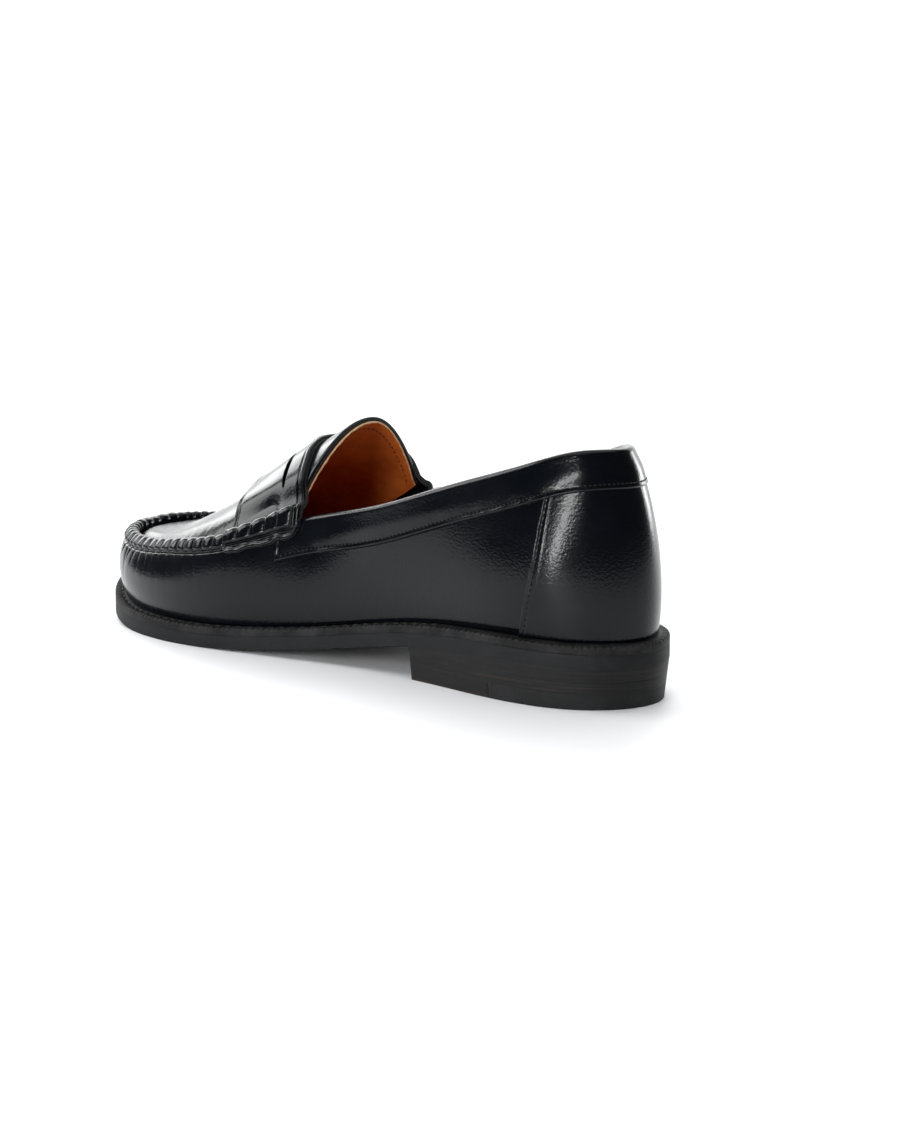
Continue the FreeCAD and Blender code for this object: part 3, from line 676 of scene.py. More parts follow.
def threads(name, paths, radius, material, node):
    points = []
    faces = []
    first = 0
    for path in paths:
        p, f = tube(path, radius)
        points.append(p)
        faces += [tuple(first + v for v in face) for face in f]
        first += len(p)
    return addPiece(name, np.concatenate(points), faces, [material], [node])


stitchShare = np.linspace(-0.5, 0.5, 7)


def stitchBow(sag=0.16):
    # how far a stitch stands out along its length: its ends dive into the leather
    return sag * (1 - (2 * stitchShare) ** 2) - 0.10


def stitchPaths(point, start, end, pitch, length, sag=0.16):
    # single stitches along point(s, out)
    count = int(abs(end - start) / pitch)
    middles = [start + (end - start) * (i + 0.5) / count for i in range(count)]
    return [point(middle + stitchShare * length, stitchBow(sag)) for middle in middles]


def makeSeamThreads():
    paths = []
    radius = 0.42
    arc = np.linspace(0, math.pi, 9)
    down = np.array([3.4, 2.6, 1.8, 1.0, 0.4])
    for place in seamPlaces[1:-1]:
        points, normals, *_ = rollOver(np.array([place]), down, vampLook["roll"], 0.0, 0.0, arc)
        paths.append((points + normals * radius)[:, 0])
    threads("moccasinThread", paths, radius, blackThread, "moc_seam_stitches")


# Plain folded edge round the opening.
collarLook = {"width": 14.0, "roll": 2.0, "step": 0.8, "stitchRise": 1.9, "pitch": 1.75, "stitch": 1.2}
collarOut = pattern["layerGap"] + pattern["overlay"]


def makeCollar():
    look = collarLook
    start = collarEndInner - girth
    s = start + edgeSpacing(collarEndOuter - start, look["step"], 0.6)
    ends = np.minimum(s - s[0], s[-1] - s)
    roll = look["roll"]
    rows = edgeSpacing(look["width"] - roll, 0.8, 0.5, False)
    down = (look["width"] - roll) - rows
    arc = np.linspace(0, math.pi * 0.55, 12)[1:]
    outer, normals, centre, normal, up = rollOver(s, down, roll, 0.0, collarOut, arc)
    lowEdge = np.concatenate([rows, np.full(len(arc), 50.0)])
    edgeDrop = np.maximum(roundOff(lowEdge, 0.75)[:, None], roundOff(ends, 0.75)[None, :])
    bead = 0.28 * lump(lowEdge, 0.75, 0.5)[:, None] * (ends > 0.5)[None, :]
    seam = 0.30 * lump(lowEdge, look["stitchRise"], 0.42)[:, None]
    seam = np.maximum(seam, 0.30 * lump(ends, look["stitchRise"], 0.42)[None, :])
    puff = 0.22 * lump(lowEdge, 6.0, 3.0)[:, None] * smoothStep(ends, 1, 8)[None, :]
    ripple = 0.05 * np.sin(s / 2.9) + 0.04 * np.sin(s / 1.31 + 2)
    ripple = ripple[None, :] * lump(lowEdge, 1.2, 2.2)[:, None]
    outer = outer + normals * (bead + puff - seam - edgeDrop * 1.5 + ripple)[..., None]
    turn = np.linspace(math.pi, math.pi * 0.56, 8)[:, None, None]
    below = np.linspace(3.4, 0.0, len(outer) - len(turn) + 1)[:-1, None, None]
    ring = centre[None] + normal[None] * roll * np.cos(turn) + up[None] * roll * np.sin(turn)
    low = centre[None] - normal[None] * roll - up[None] * below
    inner = np.concatenate([low, ring])
    hide("collarEdge", outer, inner, [upperLeather], ["collar_band"])


def collarPoint(s, down, out):
    share, _ = shareAtDistance(s, down[None, :])
    return wall(s, share[0], out)


def makeCollarThread():
    look = collarLook
    face = collarOut - 0.02
    lane = look["width"] - look["stitchRise"]
    start = collarEndInner - girth
    end = collarEndOuter

    def along(s, out):
        return collarPoint(s, np.full(len(s), lane), face + out)

    paths = stitchPaths(along, start + 2.2, end - 2.2, look["pitch"], look["stitch"])
    for place in (start + look["stitchRise"], end - look["stitchRise"]):
        for i in range(6):
            down = lane - 0.6 - i * look["pitch"] + stitchShare * look["stitch"]
            paths.append(collarPoint(np.full(len(down), place), down, face + stitchBow()))
    threads("collarThread", paths, 0.24, blackThread, "collar_stitches")


# Cover over the heel counter, with a slanted seam each side.
heelCoverLook = {"step": 0.9, "stitchIn": 2.1, "stitches": 22}


def coverHeight(s, share):
    # the share of the wall's height at a share of the cover's, which ends under the collar
    foot = 0.004
    top, _ = shareAtDistance(s, np.full((1, len(s)), collarLook["width"] - 1.6))
    return foot + (top[0] - foot) * share


def makeHeelCover():
    look = heelCoverLook
    across = edgeSpacing(100.0, look["step"], 0.6) / 100.0
    up = np.concatenate([[0.0], np.linspace(0.015, 1.0, 70)])
    rows = []
    for share in up:
        first, last = endSeams(share)
        s = first + (last - first) * across
        rows.append((s, coverHeight(s, share), np.minimum(s - first, last - s)))
    s, t, edge = [np.array(part) for part in zip(*rows)]
    wave = 0.10 * np.sin(up * 46) + 0.08 * np.sin(up * 21 + 1)
    bead = 0.38 * lump(edge, 0.85 + wave[:, None], 0.55) + 0.16 * lump(edge, 3.0, 0.8)
    seam = 0.34 * lump(edge, look["stitchIn"], 0.45)
    outer = wall(s, t, collarOut - 0.35 + bead - seam - 1.2 * roundOff(edge, 0.8))
    inner = wall(s, t, 0 * t - 0.1)
    hide("heelCover", outer, inner, [upperLeather], ["heel_cover"])


def makeHeelThread(name, node, outerSide):
    look = heelCoverLook
    paths = []
    for i in range(look["stitches"]):
        share = 0.02 + 0.94 * (i + 0.5 + 0.62 * stitchShare) / look["stitches"]
        inner, outer = endSeams(share)
        s = outer - look["stitchIn"] if outerSide else inner + look["stitchIn"]
        paths.append(wall(s, coverHeight(s, share), collarOut - 0.42 + stitchBow()))
    threads(name, paths, 0.25, blackThread, node)


makeVamp()
makeSeamThreads()
makeCollar()
makeCollarThread()
makeHeelCover()
makeHeelThread("heelThreadOuter", "heel_seam_stitches_outer", True)
makeHeelThread("heelThreadInner", "heel_seam_stitches_inner", False)
print("wall of the upper built")


# Apron with its tongue, and the tan lining under it.
apronLook = {
    "inset": 1.2, "thick": 2.0, "lining": 0.7, "throat": 139.5, "bow": 2.4, "dip": 2.0,
    "stitchIn": 3.0, "pitch": 2.2, "stitch": 1.45,
}


def apronGrid(rear, inset):
    # a grid over the apron, with its distance from the seam and from the tongue's edge
    start = placeAt(rear, 1, 1.0)
    end = placeAt(rear, -1, 1.0)
    long = 112.0
    back = edgeSpacing(long, 0.8, 0.7, False)

    def border(s):
        _, _, outX, outY = edgeLine(s)
        return wallMiddle(s, 1.0)[:, :2] - np.stack([outX, outY], -1) * inset

    outer = border(start + (toeStation - start) * (back / long))
    inner = border(end + (toeStation - end) * (back / long))
    v = 0.5 - 0.5 * np.cos(np.linspace(0, math.pi, 90))
    flat = inner[:, None] + (outer - inner)[:, None] * v[None, :, None]
    x, y = flat[..., 0], flat[..., 1]
    y = y - 2.6 * smoothStep((centreY - y) / 30.0, 0.72, 1.0) * np.exp(-back / 9.0)[:, None]
    x = x - apronLook["bow"] * (1 - (2 * v - 1) ** 2)[None, :] * np.exp(-back / 14.0)[:, None]
    s = np.linspace(start - 4, end + 4, 500)
    line = border(s)
    gap = np.hypot(x[..., None] - line[:, 0], y[..., None] - line[:, 1])
    return x, y, gap.min(-1), s[gap.argmin(-1)], back


def archNormal(x, y):
    dx = (arch(x + 0.5, y) - arch(x - 0.5, y))
    dy = (arch(x, y + 0.5) - arch(x, y - 0.5))
    n = np.stack([-dx, -dy, np.ones_like(dx)], -1)
    return n / np.linalg.norm(n, axis=-1, keepdims=True)


def makeApron():
    look = apronLook
    x, y, gap, s, back = apronGrid(look["throat"], look["inset"])
    bulge, size = pillow(s)
    front = ridgeShare(s)
    toe = 1 + 0.7 * smoothStep(x, 205 * gradeX, 240 * gradeX)
    dip = look["dip"] * toe * np.exp(-(gap / (2.4 * toe)) ** 1.5) * (0.45 + 0.55 * front)
    pinch = 0.55 * (1 - bulge) * np.exp(-gap / 2.6) * front
    puff = 0.35 * lump(gap, 5.5, 3.0) * front
    z = arch(x, y) - dip - pinch + puff
    top = np.stack([x, y, z], -1)
    normal = archNormal(x, y)
    rear = roundOff(back, 0.75)[:, None]
    outer = top - normal * rear[..., None]
    inner = top - normal * (look["thick"] - rear)[..., None]
    hide("apronSkin", outer, inner, [upperLeather, blackEdge], ["apron"])
    x, y, gap, _, back = apronGrid(look["throat"] + 0.2, look["inset"] + 0.4)
    z = arch(x, y) - look["dip"] * 0.6 * np.exp(-(gap / 2.4) ** 1.5)
    normal = archNormal(x, y)
    top = np.stack([x, y, z], -1)
    ruffle = sum(size * np.sin(np.linspace(0, end, x.shape[1])) for size, end in ((0.10, 160), (0.08, 71)))
    fringe = np.exp(-back / 0.5)[:, None] * ruffle[None, :]
    low = top - normal * (look["thick"] + look["lining"] + fringe)[..., None]
    high = top - normal * look["thick"]
    hide("tongueLining", high, low, [tanLeather, creamEdge], ["apron_lining"])
    row = np.abs(back - look["stitchIn"]).argmin()
    away = normal[row]
    line = low[row] - away * 0.03
    run = runAlong(line)

    def along(d, out):
        p, n = [np.stack([np.interp(d, run, row[:, i]) for i in range(3)], -1) for row in (line, away)]
        return p - n * out[:, None]

    paths = stitchPaths(along, 3.0, run[-1] - 3.0, look["pitch"], look["stitch"])
    threads("tongueThread", paths, 0.27, brownThread, "tongue_stitches")


# Saddle strap. Its ends lie over the ridge, gathered into pillows like the vamp, and hang below
# the seam as a flap with a rolled edge.
strapLook = {
    "rear": (136.0, 136.0), "front": (166.5, 164.0), "rearMiddle": 156.0, "frontMiddle": 179.0,
    "thick": 1.4, "crest": 2.3, "riseRear": (5.2, 3.0), "riseFront": 1.1, "lift": 2.9,
    "seamRear": 3.4, "seamFront": 4.0, "flap": 7.2, "corner": 5.0, "frontCorner": 2.5,
    "pillows": 5, "margin": 3.0, "proud": 1.1,
    "slotPlace": 0.40, "slotReach": 0.83, "slotWidth": 2.7,
}


def sweep(k, bend):
    # how far an edge of the strap has gone from its middle (0) to its side (1), rounded at 0
    soft = 0.08
    least = soft ** (bend / 2)
    return ((k * k + soft) ** (bend / 2) - least) / ((1 + soft) ** (bend / 2) - least)


def roundCorner(distance, radius):
    # how much of the flap's lower edge a rounded corner takes off
    near = np.clip(radius - distance, 0, None)
    return radius - np.sqrt(np.clip(radius ** 2 - near ** 2, 0, None))


def strapLines(place):
    # x at the strap's middle and at its two sides, at a share of its width from the rear edge
    look = strapLook
    pairs = [(look["rearMiddle"], look["frontMiddle"])] + list(zip(look["rear"], look["front"]))
    return [(rear + (front - rear) * place) * gradeX for rear, front in pairs]


def strapHalf(side, v, wide):
    # one side of the strap: its flap on the wall, its roll over the ridge, its half of the crown
    look = strapLook
    index = 0 if side > 0 else 1
    lines = strapLines(v)
    xMiddle, xSide = lines[0], lines[1 + index]
    s = np.array([placeAt(x / gradeX, side, 1.0) for x in xSide])
    seam = look["seamRear"] + (look["seamFront"] - look["seamRear"]) * v
    flap = look["flap"] + 0.25 * np.sin(v * 17 + index) + 0.15 * np.sin(v * 41)
    cut = roundCorner(v * wide, look["corner"]) + roundCorner((1 - v) * wide, look["frontCorner"])
    overCollar = 1 - smoothStep(xSide, 144 * gradeX, 150 * gradeX)
    out = (pattern["layerGap"] + pattern["overlay"]) * overCollar + look["thick"] + 0.15
    crest = look["crest"]
    rise = look["riseRear"][index] + (look["riseFront"] - look["riseRear"][index]) * v ** 0.8
    start = crest - rise
    bottom = np.maximum(flap - start - cut, 0.4)
    middle = np.minimum(seam - start, bottom - 0.2)
    u = edgeSpacing(1.0, 0.05, 0.03, False)[:, None]
    low = bottom[None, :] + (middle - bottom)[None, :] * u
    high = middle[None, :] * (1 - np.linspace(0, 1, 19)[1:, None])
    down = np.concatenate([low, high])
    share, _ = shareAtDistance(s, down + start)
    flat = wall(s[None, :], share, out[None, :] + 0 * share)
    arc = np.linspace(0, math.radians(66), 10)[1:]
    ring = rollOver(s, np.zeros(0), crest, -rise, out, arc)[0]
    k = np.array([0.82, 0.68, 0.53, 0.39, 0.25, 0.12])[:, None]
    x = xMiddle + (xSide - xMiddle) * sweep(k, 0.85 + 0.65 * v)
    ySide = outerY(x) if side > 0 else innerY(x)
    y = centreY + (ySide - centreY) * k
    dome = np.stack([x, y, arch(x, y) + look["lift"] - 0.3 * k ** 3], -1)
    # climb: distance above the seam
    return flat, ring, dome, seam[None, :] - (down + start), seam - start


def strapGrid():
    look = strapLook
    wide = look["front"][0] - look["rear"][0]
    v = edgeSpacing(wide, 0.42, 0.6) / wide
    flatA, ringA, domeA, lowClimbA, seamA = strapHalf(1, v, wide)
    flatB, ringB, domeB, lowClimbB, seamB = strapHalf(-1, v, wide)
    x = strapLines(v)[0]
    y = 0 * v + centreY
    middle = np.stack([x, y, arch(x, y) + look["lift"]], -1)[None]
    rows = [flatA[-1:], ringA, domeA, middle, domeB[::-1], ringB[::-1], flatB[-1:]]
    coarse = np.concatenate(rows)
    # fair lines over the crown, closer together at both sides
    count = 150
    dense = 0.5 - 0.5 * np.cos(np.linspace(0, math.pi, count))
    dense = 0.55 * np.linspace(0, 1, count) + 0.45 * dense
    span = np.zeros((count, len(v), 3))
    climb = np.zeros((2, count, len(v)))
    for j in range(len(v)):
        run = runAlong(coarse[:, j])
        t = run[-1] * dense
        span[:, j] = np.stack([fairCurve(run, coarse[:, j, i])(t) for i in range(3)], -1)
        climb[:, :, j] = t + seamA[j], run[-1] - t + seamB[j]
    grid = np.concatenate([flatA[:-1], span, flatB[:-1][::-1]])
    far = np.full((len(flatA) - 1, len(v)), 99.0)
    climbA = np.concatenate([lowClimbA[:-1], climb[0], far])
    climbB = np.concatenate([far, climb[1], lowClimbB[:-1][::-1]])
    return grid, np.minimum(climbA, climbB), v, wide, seamA


def cutSlot(strap):
    # a long slot across the strap, cut with a curved lens that stands upright
    look = strapLook
    k = np.sin(np.linspace(-math.pi / 2, math.pi / 2, 61)) * look["slotReach"]
    place = look["slotPlace"] - 0.13 * np.abs(k)
    xMiddle, xOuter, xInner = strapLines(place)
    xSide = np.where(k > 0, xOuter, xInner)
    x = xMiddle + (xSide - xMiddle) * sweep(k, 0.85 + 0.65 * place)
    y = centreY + (np.where(k > 0, outerY(x), innerY(x)) - centreY) * np.abs(k)
    half = look["slotWidth"] / 2 * (1 - np.abs(k / look["slotReach"]) ** 14) ** 0.5 * (1 - 0.25 * np.abs(k))
    lens = list(zip(x + half, y)) + list(zip(x - half, y))[-2:0:-1]
    count = len(lens)
    points = [(a, b, z) for z in (45.0, 95.0) for a, b in lens]
    faces = [tuple(range(count)), tuple(range(2 * count - 1, count - 1, -1))]
    faces += [(i, i + count, (i + 1) % count + count, (i + 1) % count) for i in range(count)]
    cutter = addObject("slotCutter", addMesh("slotCutter", toFrame(points).tolist(), faces))
    settleNormals(cutter)
    cut = strap.modifiers.new("slot", "BOOLEAN")
    cut.object = cutter
    cut.operation = "DIFFERENCE"
    cut.solver = "EXACT"
    cut.use_self = True
    bpy.context.view_layer.update()
    result = bpy.data.meshes.new_from_object(strap.evaluated_get(bpy.context.evaluated_depsgraph_get()))
    strap.modifiers.clear()
    strap.data = result
    bpy.data.objects.remove(cutter)


def makeStrap():
    look = strapLook
    grid, climb, v, wide, seam = strapGrid()
    # distance from the strap's rear, front and lower edges
    back = runAlong(grid.transpose(1, 0, 2)).T
    front = back[:, -1:] - back
    low = runAlong(grid)
    low = np.minimum(low, low[-1:] - low)
    back = np.minimum(back, (v * wide)[None, :])
    first = look["margin"] / wide
    phase = (v - first) / (1 - first) * look["pillows"]
    p = np.clip(phase - np.floor(phase), 0, 1)
    bulge = np.where(phase > 0, (4 * p * (1 - p)) ** 0.38, 0.0)[None, :]
    ends = np.where(phase > 0, 1.0, 0.0)[None, :]
    rise = np.sqrt(1 - (1 - np.clip(climb / 1.5, 0, 1)) ** 2)
    tall = (seam + look["crest"] * 0.9)[None, :]
    fade = 1 - smoothStep(climb, tall + 0.2, tall + 2.6)
    swell = look["proud"] * (0.18 + 0.82 * bulge) * rise * fade * (0.25 + 0.75 * ends)
    swell -= 0.55 * lump(climb, -0.2, 0.5) * (0.3 + 0.7 * ends)
    swell += 0.55 * np.clip(-climb / 3.5, 0, 1) ** 1.5
    swell += 0.12 * np.sin(v * 29)[None, :] * np.clip(-climb / 2.5, 0, 1)
    swell += 0.40 * lump(back, 1.0, 0.65) - 0.34 * lump(back, 2.25, 0.4)
    rim = np.minimum(low, front)
    swell += 0.25 * lump(rim, 0.9, 0.6) - 0.18 * lump(rim, 2.1, 0.4)
    swell -= 0.25 * lump(climb, tall + 2.2, 0.9)
    drop = roundOff(np.minimum(back, rim), 0.65)

    def layer(depth):
        # the strap's grid moved down into the leather
        return offsetGrid(grid, depth + 0 * drop)

    strap = hide("saddleStrap", layer(drop - swell), layer(look["thick"]), [upperLeather, blackEdge],
                 ["saddle_strap"])
    cutSlot(strap)
    # the lining goes only over the instep
    keep = slice(30, len(grid) - 30), slice(1, -1)
    under, below = [layer(look["thick"] + gap)[keep] for gap in (0.05, 0.85)]
    hide("strapBacking", under, below, [upperLeather, blackEdge], ["strap_lining"])
    paths = []
    base = layer(-0.28)
    middle = len(grid) // 2
    for k in range(look["pillows"] + 1):
        place = min(first + (1 - first) * k / look["pillows"], 1 - 0.8 / wide)
        j = np.abs(v - place).argmin()
        for rows in (range(middle), range(len(grid) - 1, middle, -1)):
            rows = [r for r in rows if 0.3 < climb[r, j] < tall[0, j] + 1.6]
            if len(rows) > 4:
                paths.append(base[rows, j])
    threads("strapThread", paths, 0.40, blackThread, "strap_stitches")


# Sole unit.
soleStep = 1.2


def soleBlock(name, sides, material, node, start=None, end=None, across=14):
    # a slab bounded by the shoe's outline. `sides` are rows up its edge, (inset, height at x).
    first = [0.0, girth] if start is None else [edgeAt(start, side) for side in (1, -1)]
    last = [toeStation] * 2 if end is None else [edgeAt(end, side) for side in (1, -1)]
    f = np.linspace(0, 1, int((last[0] - first[0]) / soleStep))
    pieces = []
    for begin, stop in zip(first, last):
        rows = []
        for inset, height in sides:
            x, y, _, _ = edgeLine(begin + (stop - begin) * f, inset)
            if start is not None:
                x = np.maximum(x, start)
            if end is not None:
                x = np.minimum(x, end)
            rows.append(np.stack([x, y, height(x) + 0 * x], -1))
        pieces.append(np.array(rows))
    a, b = pieces
    v = np.linspace(0, 1, across)

    def between(p, q):
        return p[:, None] + (q - p)[:, None] * v[None, :, None]

    grids = [a, b[:, ::-1]]
    for r in (0, -1):
        cap = between(a[r], b[r])
        inside = (v[None, :] > 0) & (v[None, :] < 1)
        cap[..., 2] = np.where(inside, sides[r][1](cap[..., 0]), cap[..., 2])
        grids.append(cap)
    if start is not None:
        grids.append(between(a[:, 0], b[:, 0]))
    if end is not None:
        grids.append(between(a[:, -1], b[:, -1]))
    faces = []
    count = 0
    for grid in grids:
        faces += gridFaces(*grid.shape[:2], count)
        count += grid.shape[0] * grid.shape[1]
    points = np.concatenate([grid.reshape(-1, 3) for grid in grids])
    return addPiece(name, points, faces, [material], [node])


def edgeRows(low, high, inset=0.0, radius=0.4, middles=3):
    # rows up a straight edge with small rounded corners
    rows = []
    for angle in np.linspace(0, math.pi / 2, 4):
        rows.append((inset + radius * (1 - math.sin(angle)), radius * (1 - math.cos(angle))))
    up = [(reach, lambda x, d=d: low(x) + d) for reach, d in rows]
    for k in range(1, middles):
        up.append((inset, lambda x, k=k: low(x) + radius + (high(x) - low(x) - 2 * radius) * k / middles))
    up += [(reach, lambda x, d=d: high(x) - d) for reach, d in rows[::-1]]
    return [(inset + radius + 1.5, low)] + up + [(inset + radius + 1.5, high)]


weltLook = {"ribPitch": 2.4, "rib": 0.6, "width": 9.5, "stitchIn": 2.9, "pitch": 4.6, "stitch": 3.4}


def makeWelt():
    look = weltLook
    low = pattern["outsole"] + pattern["film"]
    high = low + pattern["welt"]
    # (set-in, height): underside, edge, wheeled corner, stitch groove, top
    section = [
        (look["width"], low), (5.0, low), (0.9, low - 0.1), (0.1, low - 0.1), (0.03, low - 0.06),
        (0.0, low + 0.6), (0.0, low + 1.7), (0.0, high - 0.75),
        (0.08, high - 0.4), (0.3, high - 0.12), (0.6, high), (1.0, high), (1.5, high),
        (2.0, high - 0.05), (2.35, high - 0.3), (2.9, high - 0.42), (3.5, high - 0.3),
        (4.2, high), (look["width"], high),
    ]
    s = np.linspace(0, girth, int(girth / 0.4), endpoint=False)
    rows = []
    wobble = 0.25 * np.sin(s * 0.83) + 0.2 * np.sin(s * 0.31 + 1)
    notch = np.abs(np.sin(math.pi * (s + wobble) / look["ribPitch"])) ** 10
    for inset, height in section:
        x, y, outX, outY = edgeLine(s, inset)
        strength = lump(inset, 0.9, 1.0) if height > high - 1.0 else 0.0
        z = soleArch(x) + height - look["rib"] * notch * strength
        shift = 0.35 * notch * strength * (inset < 0.5)
        rows.append(np.stack([x - outX * shift, y - outY * shift, z], -1))
    strip = np.array(rows + rows[:1])
    faces = gridFaces(len(strip), len(s), 0, True)
    addPiece("weltStrip", strip, faces, [weltLeather], ["welt"])

    def lane(s, out):
        x, y, _, _ = edgeLine(s, look["stitchIn"])
        return np.stack([x, y, soleArch(x) + high - 0.34 + out], -1)

    ends = [edgeAt(70 * gradeX, side) for side in (1, -1)]
    paths = stitchPaths(lane, *ends, look["pitch"], look["stitch"], 0.42)
    threads("weltThread", paths, 0.38, blackThread, "welt_stitches")


heelLook = {"topPiece": 5.2, "lift": 3.6, "film": 0.12, "flare": 1.5, "tip": 44.0, "joint": 0.25}


def makeSole():
    look = heelLook
    slab = edgeRows(soleArch, lambda x: soleArch(x) + pattern["outsole"], 0.0, 0.05)
    soleBlock("outsoleSlab", slab, outsoleRubber, "outsole")
    heelEnd = pattern["heelLength"]
    tip = look["tip"] * gradeX
    top = look["topPiece"]
    lift = look["lift"]
    film = look["film"]

    def level(height):
        return lambda x: 0 * x + height

    def block(name, low, high, radius, material, slotName, node, start=None, end=heelEnd):
        # the heel's sides lean in towards the ground
        rows = edgeRows(low, high, 0.0, radius, 4)
        flared = []
        for inset, height in rows:
            lean = look["flare"] * (1 - float(height(20.0)) / pattern["heelHeight"])
            flared.append((inset + 0.1 + lean, height))
        soleBlock(name, flared, material, node, start, end)

    stack = heelStack, "heel_leather"
    block("heelTip", level(0), level(top + 0.1), 0.06, heelRubber, "heel_rubber", "heel_rubber_tip", end=tip)
    block("heelTopPiece", level(0), level(top + 0.1), 0.03, *stack, "heel_top_piece", tip + look["joint"])
    block("heelLiftLower", level(top + film), level(top + film + lift + 0.1), 0.03, *stack, "heel_lift_lower")
    block("heelLiftUpper", level(top + lift + 2 * film), lambda x: soleArch(x) - 0.01, 0.03, *stack,
          "heel_lift_upper")


# Inside of the shoe.
liningLook = {"top": 3.2, "step": 1.2, "sockLow": 10.4, "sockTop": 11.4, "sockInset": 9.3}


def makeLining(name, node, first, last, top, proud=0.0):
    s = np.linspace(first, last, int((last - first) / liningLook["step"]))
    _, tall = shareAtDistance(s, np.zeros((1, len(s))))
    u = np.concatenate([[0, 0.005, 0.012, 0.02], np.linspace(0.035, 1, 34)])
    down = top + (tall * 0.96 - top)[None, :] * u[:, None]
    share, _ = shareAtDistance(s, down)
    deep = smoothStep(down, top, 14.0)
    ends = np.minimum(s - s[0], s[-1] - s)
    face = -(3.15 + 0.7 * deep + proud) + roundOff(down - top, 0.5) + roundOff(ends, 0.4)[None, :]
    outer = wall(s[None, :], share, -2.7 + 0 * share)
    inner = wall(s[None, :], share, face)
    hide(name, inner, outer, [tanLeather, creamEdge], [node])


def makeInside():
    look = liningLook
    frontOuter, frontInner = placeAt(120, 1), placeAt(118, -1)
    heelOuter, heelInner = placeAt(42, 1), placeAt(42, -1)
    top = look["top"]
    makeLining("quarterLiningOuter", "quarter_lining_outer", heelOuter + 0.2, frontOuter + 24, top)
    makeLining("quarterLiningInner", "quarter_lining_inner", frontInner - 26, heelInner - 0.2, top)
    makeLining("heelGrip", "heel_grip", heelInner - girth - 2.0, heelOuter + 2.0, top, 0.35)
    makeLining("vampLining", "vamp_lining", frontOuter + 8, frontInner - 8, 5.0, -0.3)
    low, high, inset = look["sockLow"], look["sockTop"], look["sockInset"]
    sock = edgeRows(lambda x: soleArch(x) + low, lambda x: soleArch(x) + high, inset, 0.3)
    soleBlock("sockLining", sock, tanLeather, "sock_lining", across=24)
    makePad(inset + 1.5, high + 0.1)


padLook = {"length": 72.0, "fill": 0.7}


def makePad(inset, low):
    # rows up the pad's rounded edge, (set-in, height), then rings that close in to its middle
    sides = [(2.0, 0), (0, 0), (-0.15, 0.6), (0, 1.3), (0.8, 2.1), (2.2, 2.6), (4.5, 2.85), (8.0, 3.0)]
    end = padLook["length"] * gradeX
    f = np.linspace(0, 1, 60)
    outerS = edgeAt(end - 6, 1) * f
    innerS = girth + (edgeAt(end - 6, -1) - girth) * f
    rows = []
    for deeper, height in sides:
        side, back = [
            np.stack([*edgeLine(s, inset + deeper)[:2], 0 * s], -1) for s in (outerS, innerS[::-1])]
        ring = np.concatenate([side, arcBetween(side[-1], back[0], 6.0 - deeper), back])
        ring[:, 2] = soleArch(ring[:, 0]) + low + height
        rows.append(ring[:-1])
    inner = [rows[-1] * (1 - k) + rows[-1].mean(axis=0) * k for k in (0.25, 0.5, 0.75, 0.93)]
    bottom = [rows[0] * (1 - k) + rows[0].mean(axis=0) * k for k in (0.93, 0.5)]
    full = np.array(bottom + rows + inner)
    wide = full.shape[1]
    faces = gridFaces(len(full), wide, 0, True)
    faces += [tuple(range(wide)), tuple((len(full) - 1) * wide + k for k in range(wide))]
    pad = addPiece("heelPad", full, faces, [tanLeather], ["heel_pad"])


def arcBetween(start, end, bow):
    u = np.linspace(0, 1, 32)[1:-1, None]
    line = start + (end - start) * u
    line[:, 0] += bow * (4 * u * (1 - u))[:, 0] ** 0.7
    return line


# What stays hidden inside still gets its own finish.
def finishHidden():
    board = cutEdge("insoleBoard", (0.50, 0.36, 0.22), (0.34, 0.22, 0.12))
    cork = cutEdge("corkFiller", (0.36, 0.20, 0.09), (0.16, 0.08, 0.035))
    stiff = cutEdge("stiffener", (0.62, 0.58, 0.48), (0.44, 0.40, 0.32))
    tape = cutEdge("toplineTape", (0.75, 0.74, 0.70), (0.55, 0.54, 0.50))
    steel = Finish("steelParts", (0.42, 0.42, 0.43), 0.35, {"Metallic": 1.0})
    scratch = steel.noise(1.0, 3.0, 0.6, steel.stretched((2200.0, 90.0, 2200.0)))
    steel.set("Roughness", 0.28 + 0.25 * scratch)
    steel.bump(scratch, 0.00003)
    finishes = {
        "insole_board": board, "forepart_filler": cork, "shank": steel.material, "heel_nails": steel.material,
        "heel_counter": stiff, "toe_puff": stiff, "topline_tape": tape,
    }
    for node, material in finishes.items():
        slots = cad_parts[node].data.materials
        slots.clear()
        slots.append(material)


makeApron()
makeStrap()
print("apron and strap built")
makeWelt()
makeSole()
makeInside()
finishHidden()
print("sole and inside built")


# Floor, camera and light.
def aim(thing, target):
    way = Vector(target) - thing.location
    thing.rotation_euler = way.to_track_quat("-Z", "Y").to_euler()


studio = {
    "eye": toFrame((-549.8, 630.3, 192.6)), "target": toFrame((92.0, 2.1, 35.7)), "lens": 84.12,
    "world": {"around": 0.22, "mirrored": 0.05, "seen": 0.55}, "floor": 12.0,
}
cameraData = bpy.data.cameras.new("viewCamera")
cameraData.lens = studio["lens"]
cameraData.sensor_width = 36
cameraData.sensor_fit = "AUTO"
cameraData.clip_end = 50
camera = addObject("viewCamera", cameraData)
camera.location = studio["eye"].tolist()
aim(camera, studio["target"].tolist())
bpy.context.scene.camera = camera


def panel(name, place, target, size, radiance, axis=None):
    # a soft box given by how bright its face is; axis turns its longer side
    data = bpy.data.lights.new(name, "AREA")
    data.shape = "RECTANGLE"
    data.size, data.size_y = size
    data.energy = radiance * math.pi * size[0] * size[1]
    light = addObject(name, data)
    light.location = place
    aim(light, target)
    if axis:
        away = (light.location - Vector(target)).normalized()
        across = Vector(axis).cross(away).normalized()
        turn = Matrix((across, away.cross(across), away)).transposed()
        light.rotation_euler = turn.to_euler()


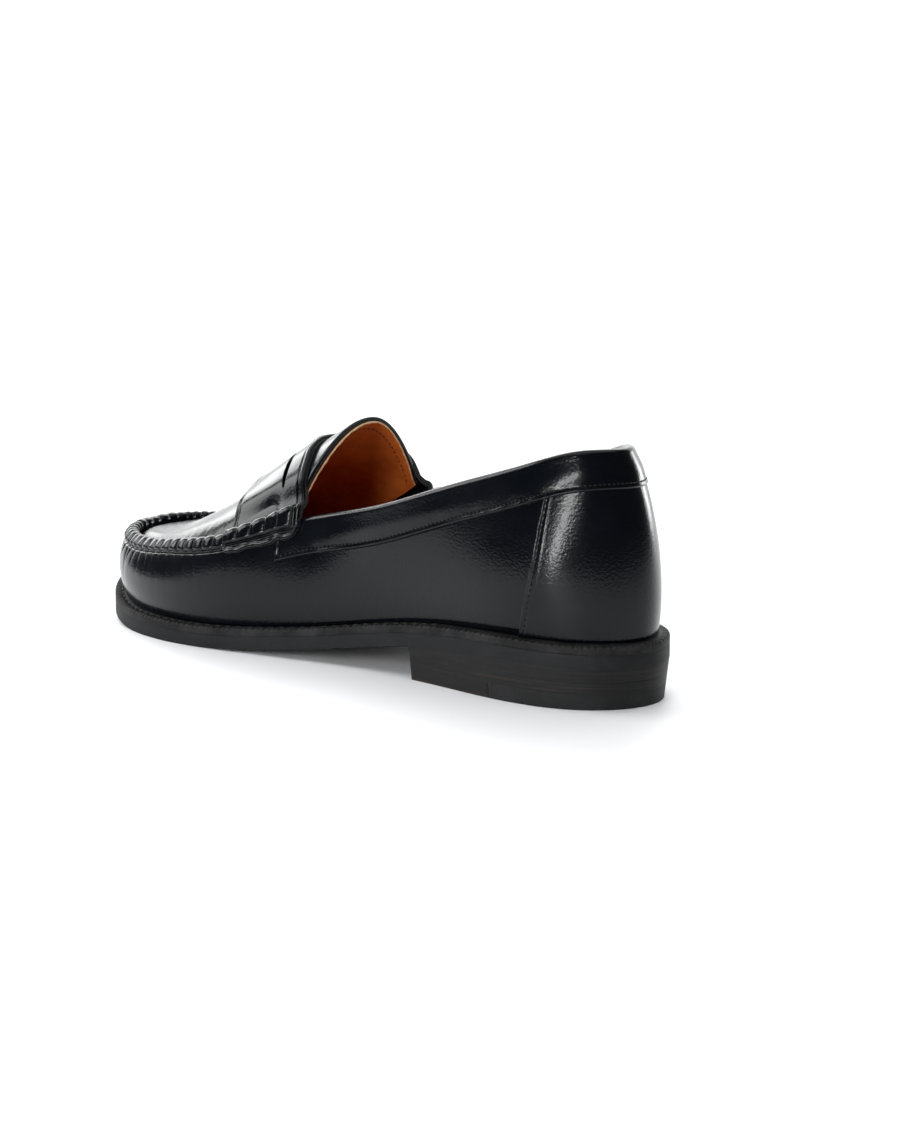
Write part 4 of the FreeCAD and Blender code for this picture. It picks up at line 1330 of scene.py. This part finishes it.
def sheet(name, corners, material):
    mesh = addMesh(name, corners, [(0, 1, 2, 3)])
    mesh.materials.append(material)
    return addObject(name, mesh)


reach = studio["floor"]
floor = sheet("floor", [(-reach, -reach, 0), (reach, -reach, 0), (reach, reach, 0), (-reach, reach, 0)],
              paleFloor("floorPaint"))
backdropPaint = Finish("backdropPaint", (0.8, 0.8, 0.8), 0.9, {"Emission Strength": 1.0})
backdropPaint.set("Emission Color", (1, 1, 1, 1))
backdrop = sheet("backdrop", [(-6.5, -0.2, -0.05), (0.0, -6.5, -0.05), (0.0, -6.5, 4), (-6.5, -0.2, 4)],
                 backdropPaint.material)

heart = (0.0, 0.05, 0.04)
panel("topSoftBox", (0.0, -0.1, 1.6), (0, 0, 0), (2.2, 2.2), 1.3)
panel("floorWash", (-2.3, -2.5, 2.4), (-2.3, -2.5, 0), (3.6, 3.6), 1.6, (1, 1, 0))
panel("backSoftBox", (-0.85, -0.95, 1.1), heart, (1.1, 0.6), 5)
panel("frontSoftBox", (-0.26, -1.45, 0.60), heart, (0.7, 0.42), 5)
panel("frontSideBox", (0.66, -1.12, 0.86), heart, (0.8, 0.7), 6)
panel("heelStrip", (1.14, 0.34, 0.36), heart, (0.11, 0.95), 31, (-0.35, 0.85, 0.72))
panel("innerPanel", (-1.2, 0.10, 0.20), heart, (0.30, 0.34), 9)

# The room is darker in reflections than in its diffuse light, and lighter where it is seen.
world = bpy.data.worlds.new("studioWorld")
world.use_nodes = True
room = world.node_tree.nodes
join = world.node_tree.links.new
lit = {}
for part, strength in studio["world"].items():
    lit[part] = room.new("ShaderNodeBackground")
    lit[part].inputs["Color"].default_value = (0.90, 0.96, 1.0, 1)
    lit[part].inputs["Strength"].default_value = strength
rays = room.new("ShaderNodeLightPath")
last = lit["around"]
for kind, part in (("Is Glossy Ray", "mirrored"), ("Is Camera Ray", "seen")):
    mix = room.new("ShaderNodeMixShader")
    join(rays.outputs[kind], mix.inputs[0])
    join(last.outputs[0], mix.inputs[1])
    join(lit[part].outputs[0], mix.inputs[2])
    last = mix
join(last.outputs[0], room["World Output"].inputs["Surface"])
bpy.context.scene.world = world
bpy.context.scene.view_settings.view_transform = "Standard"
print("studio ready")
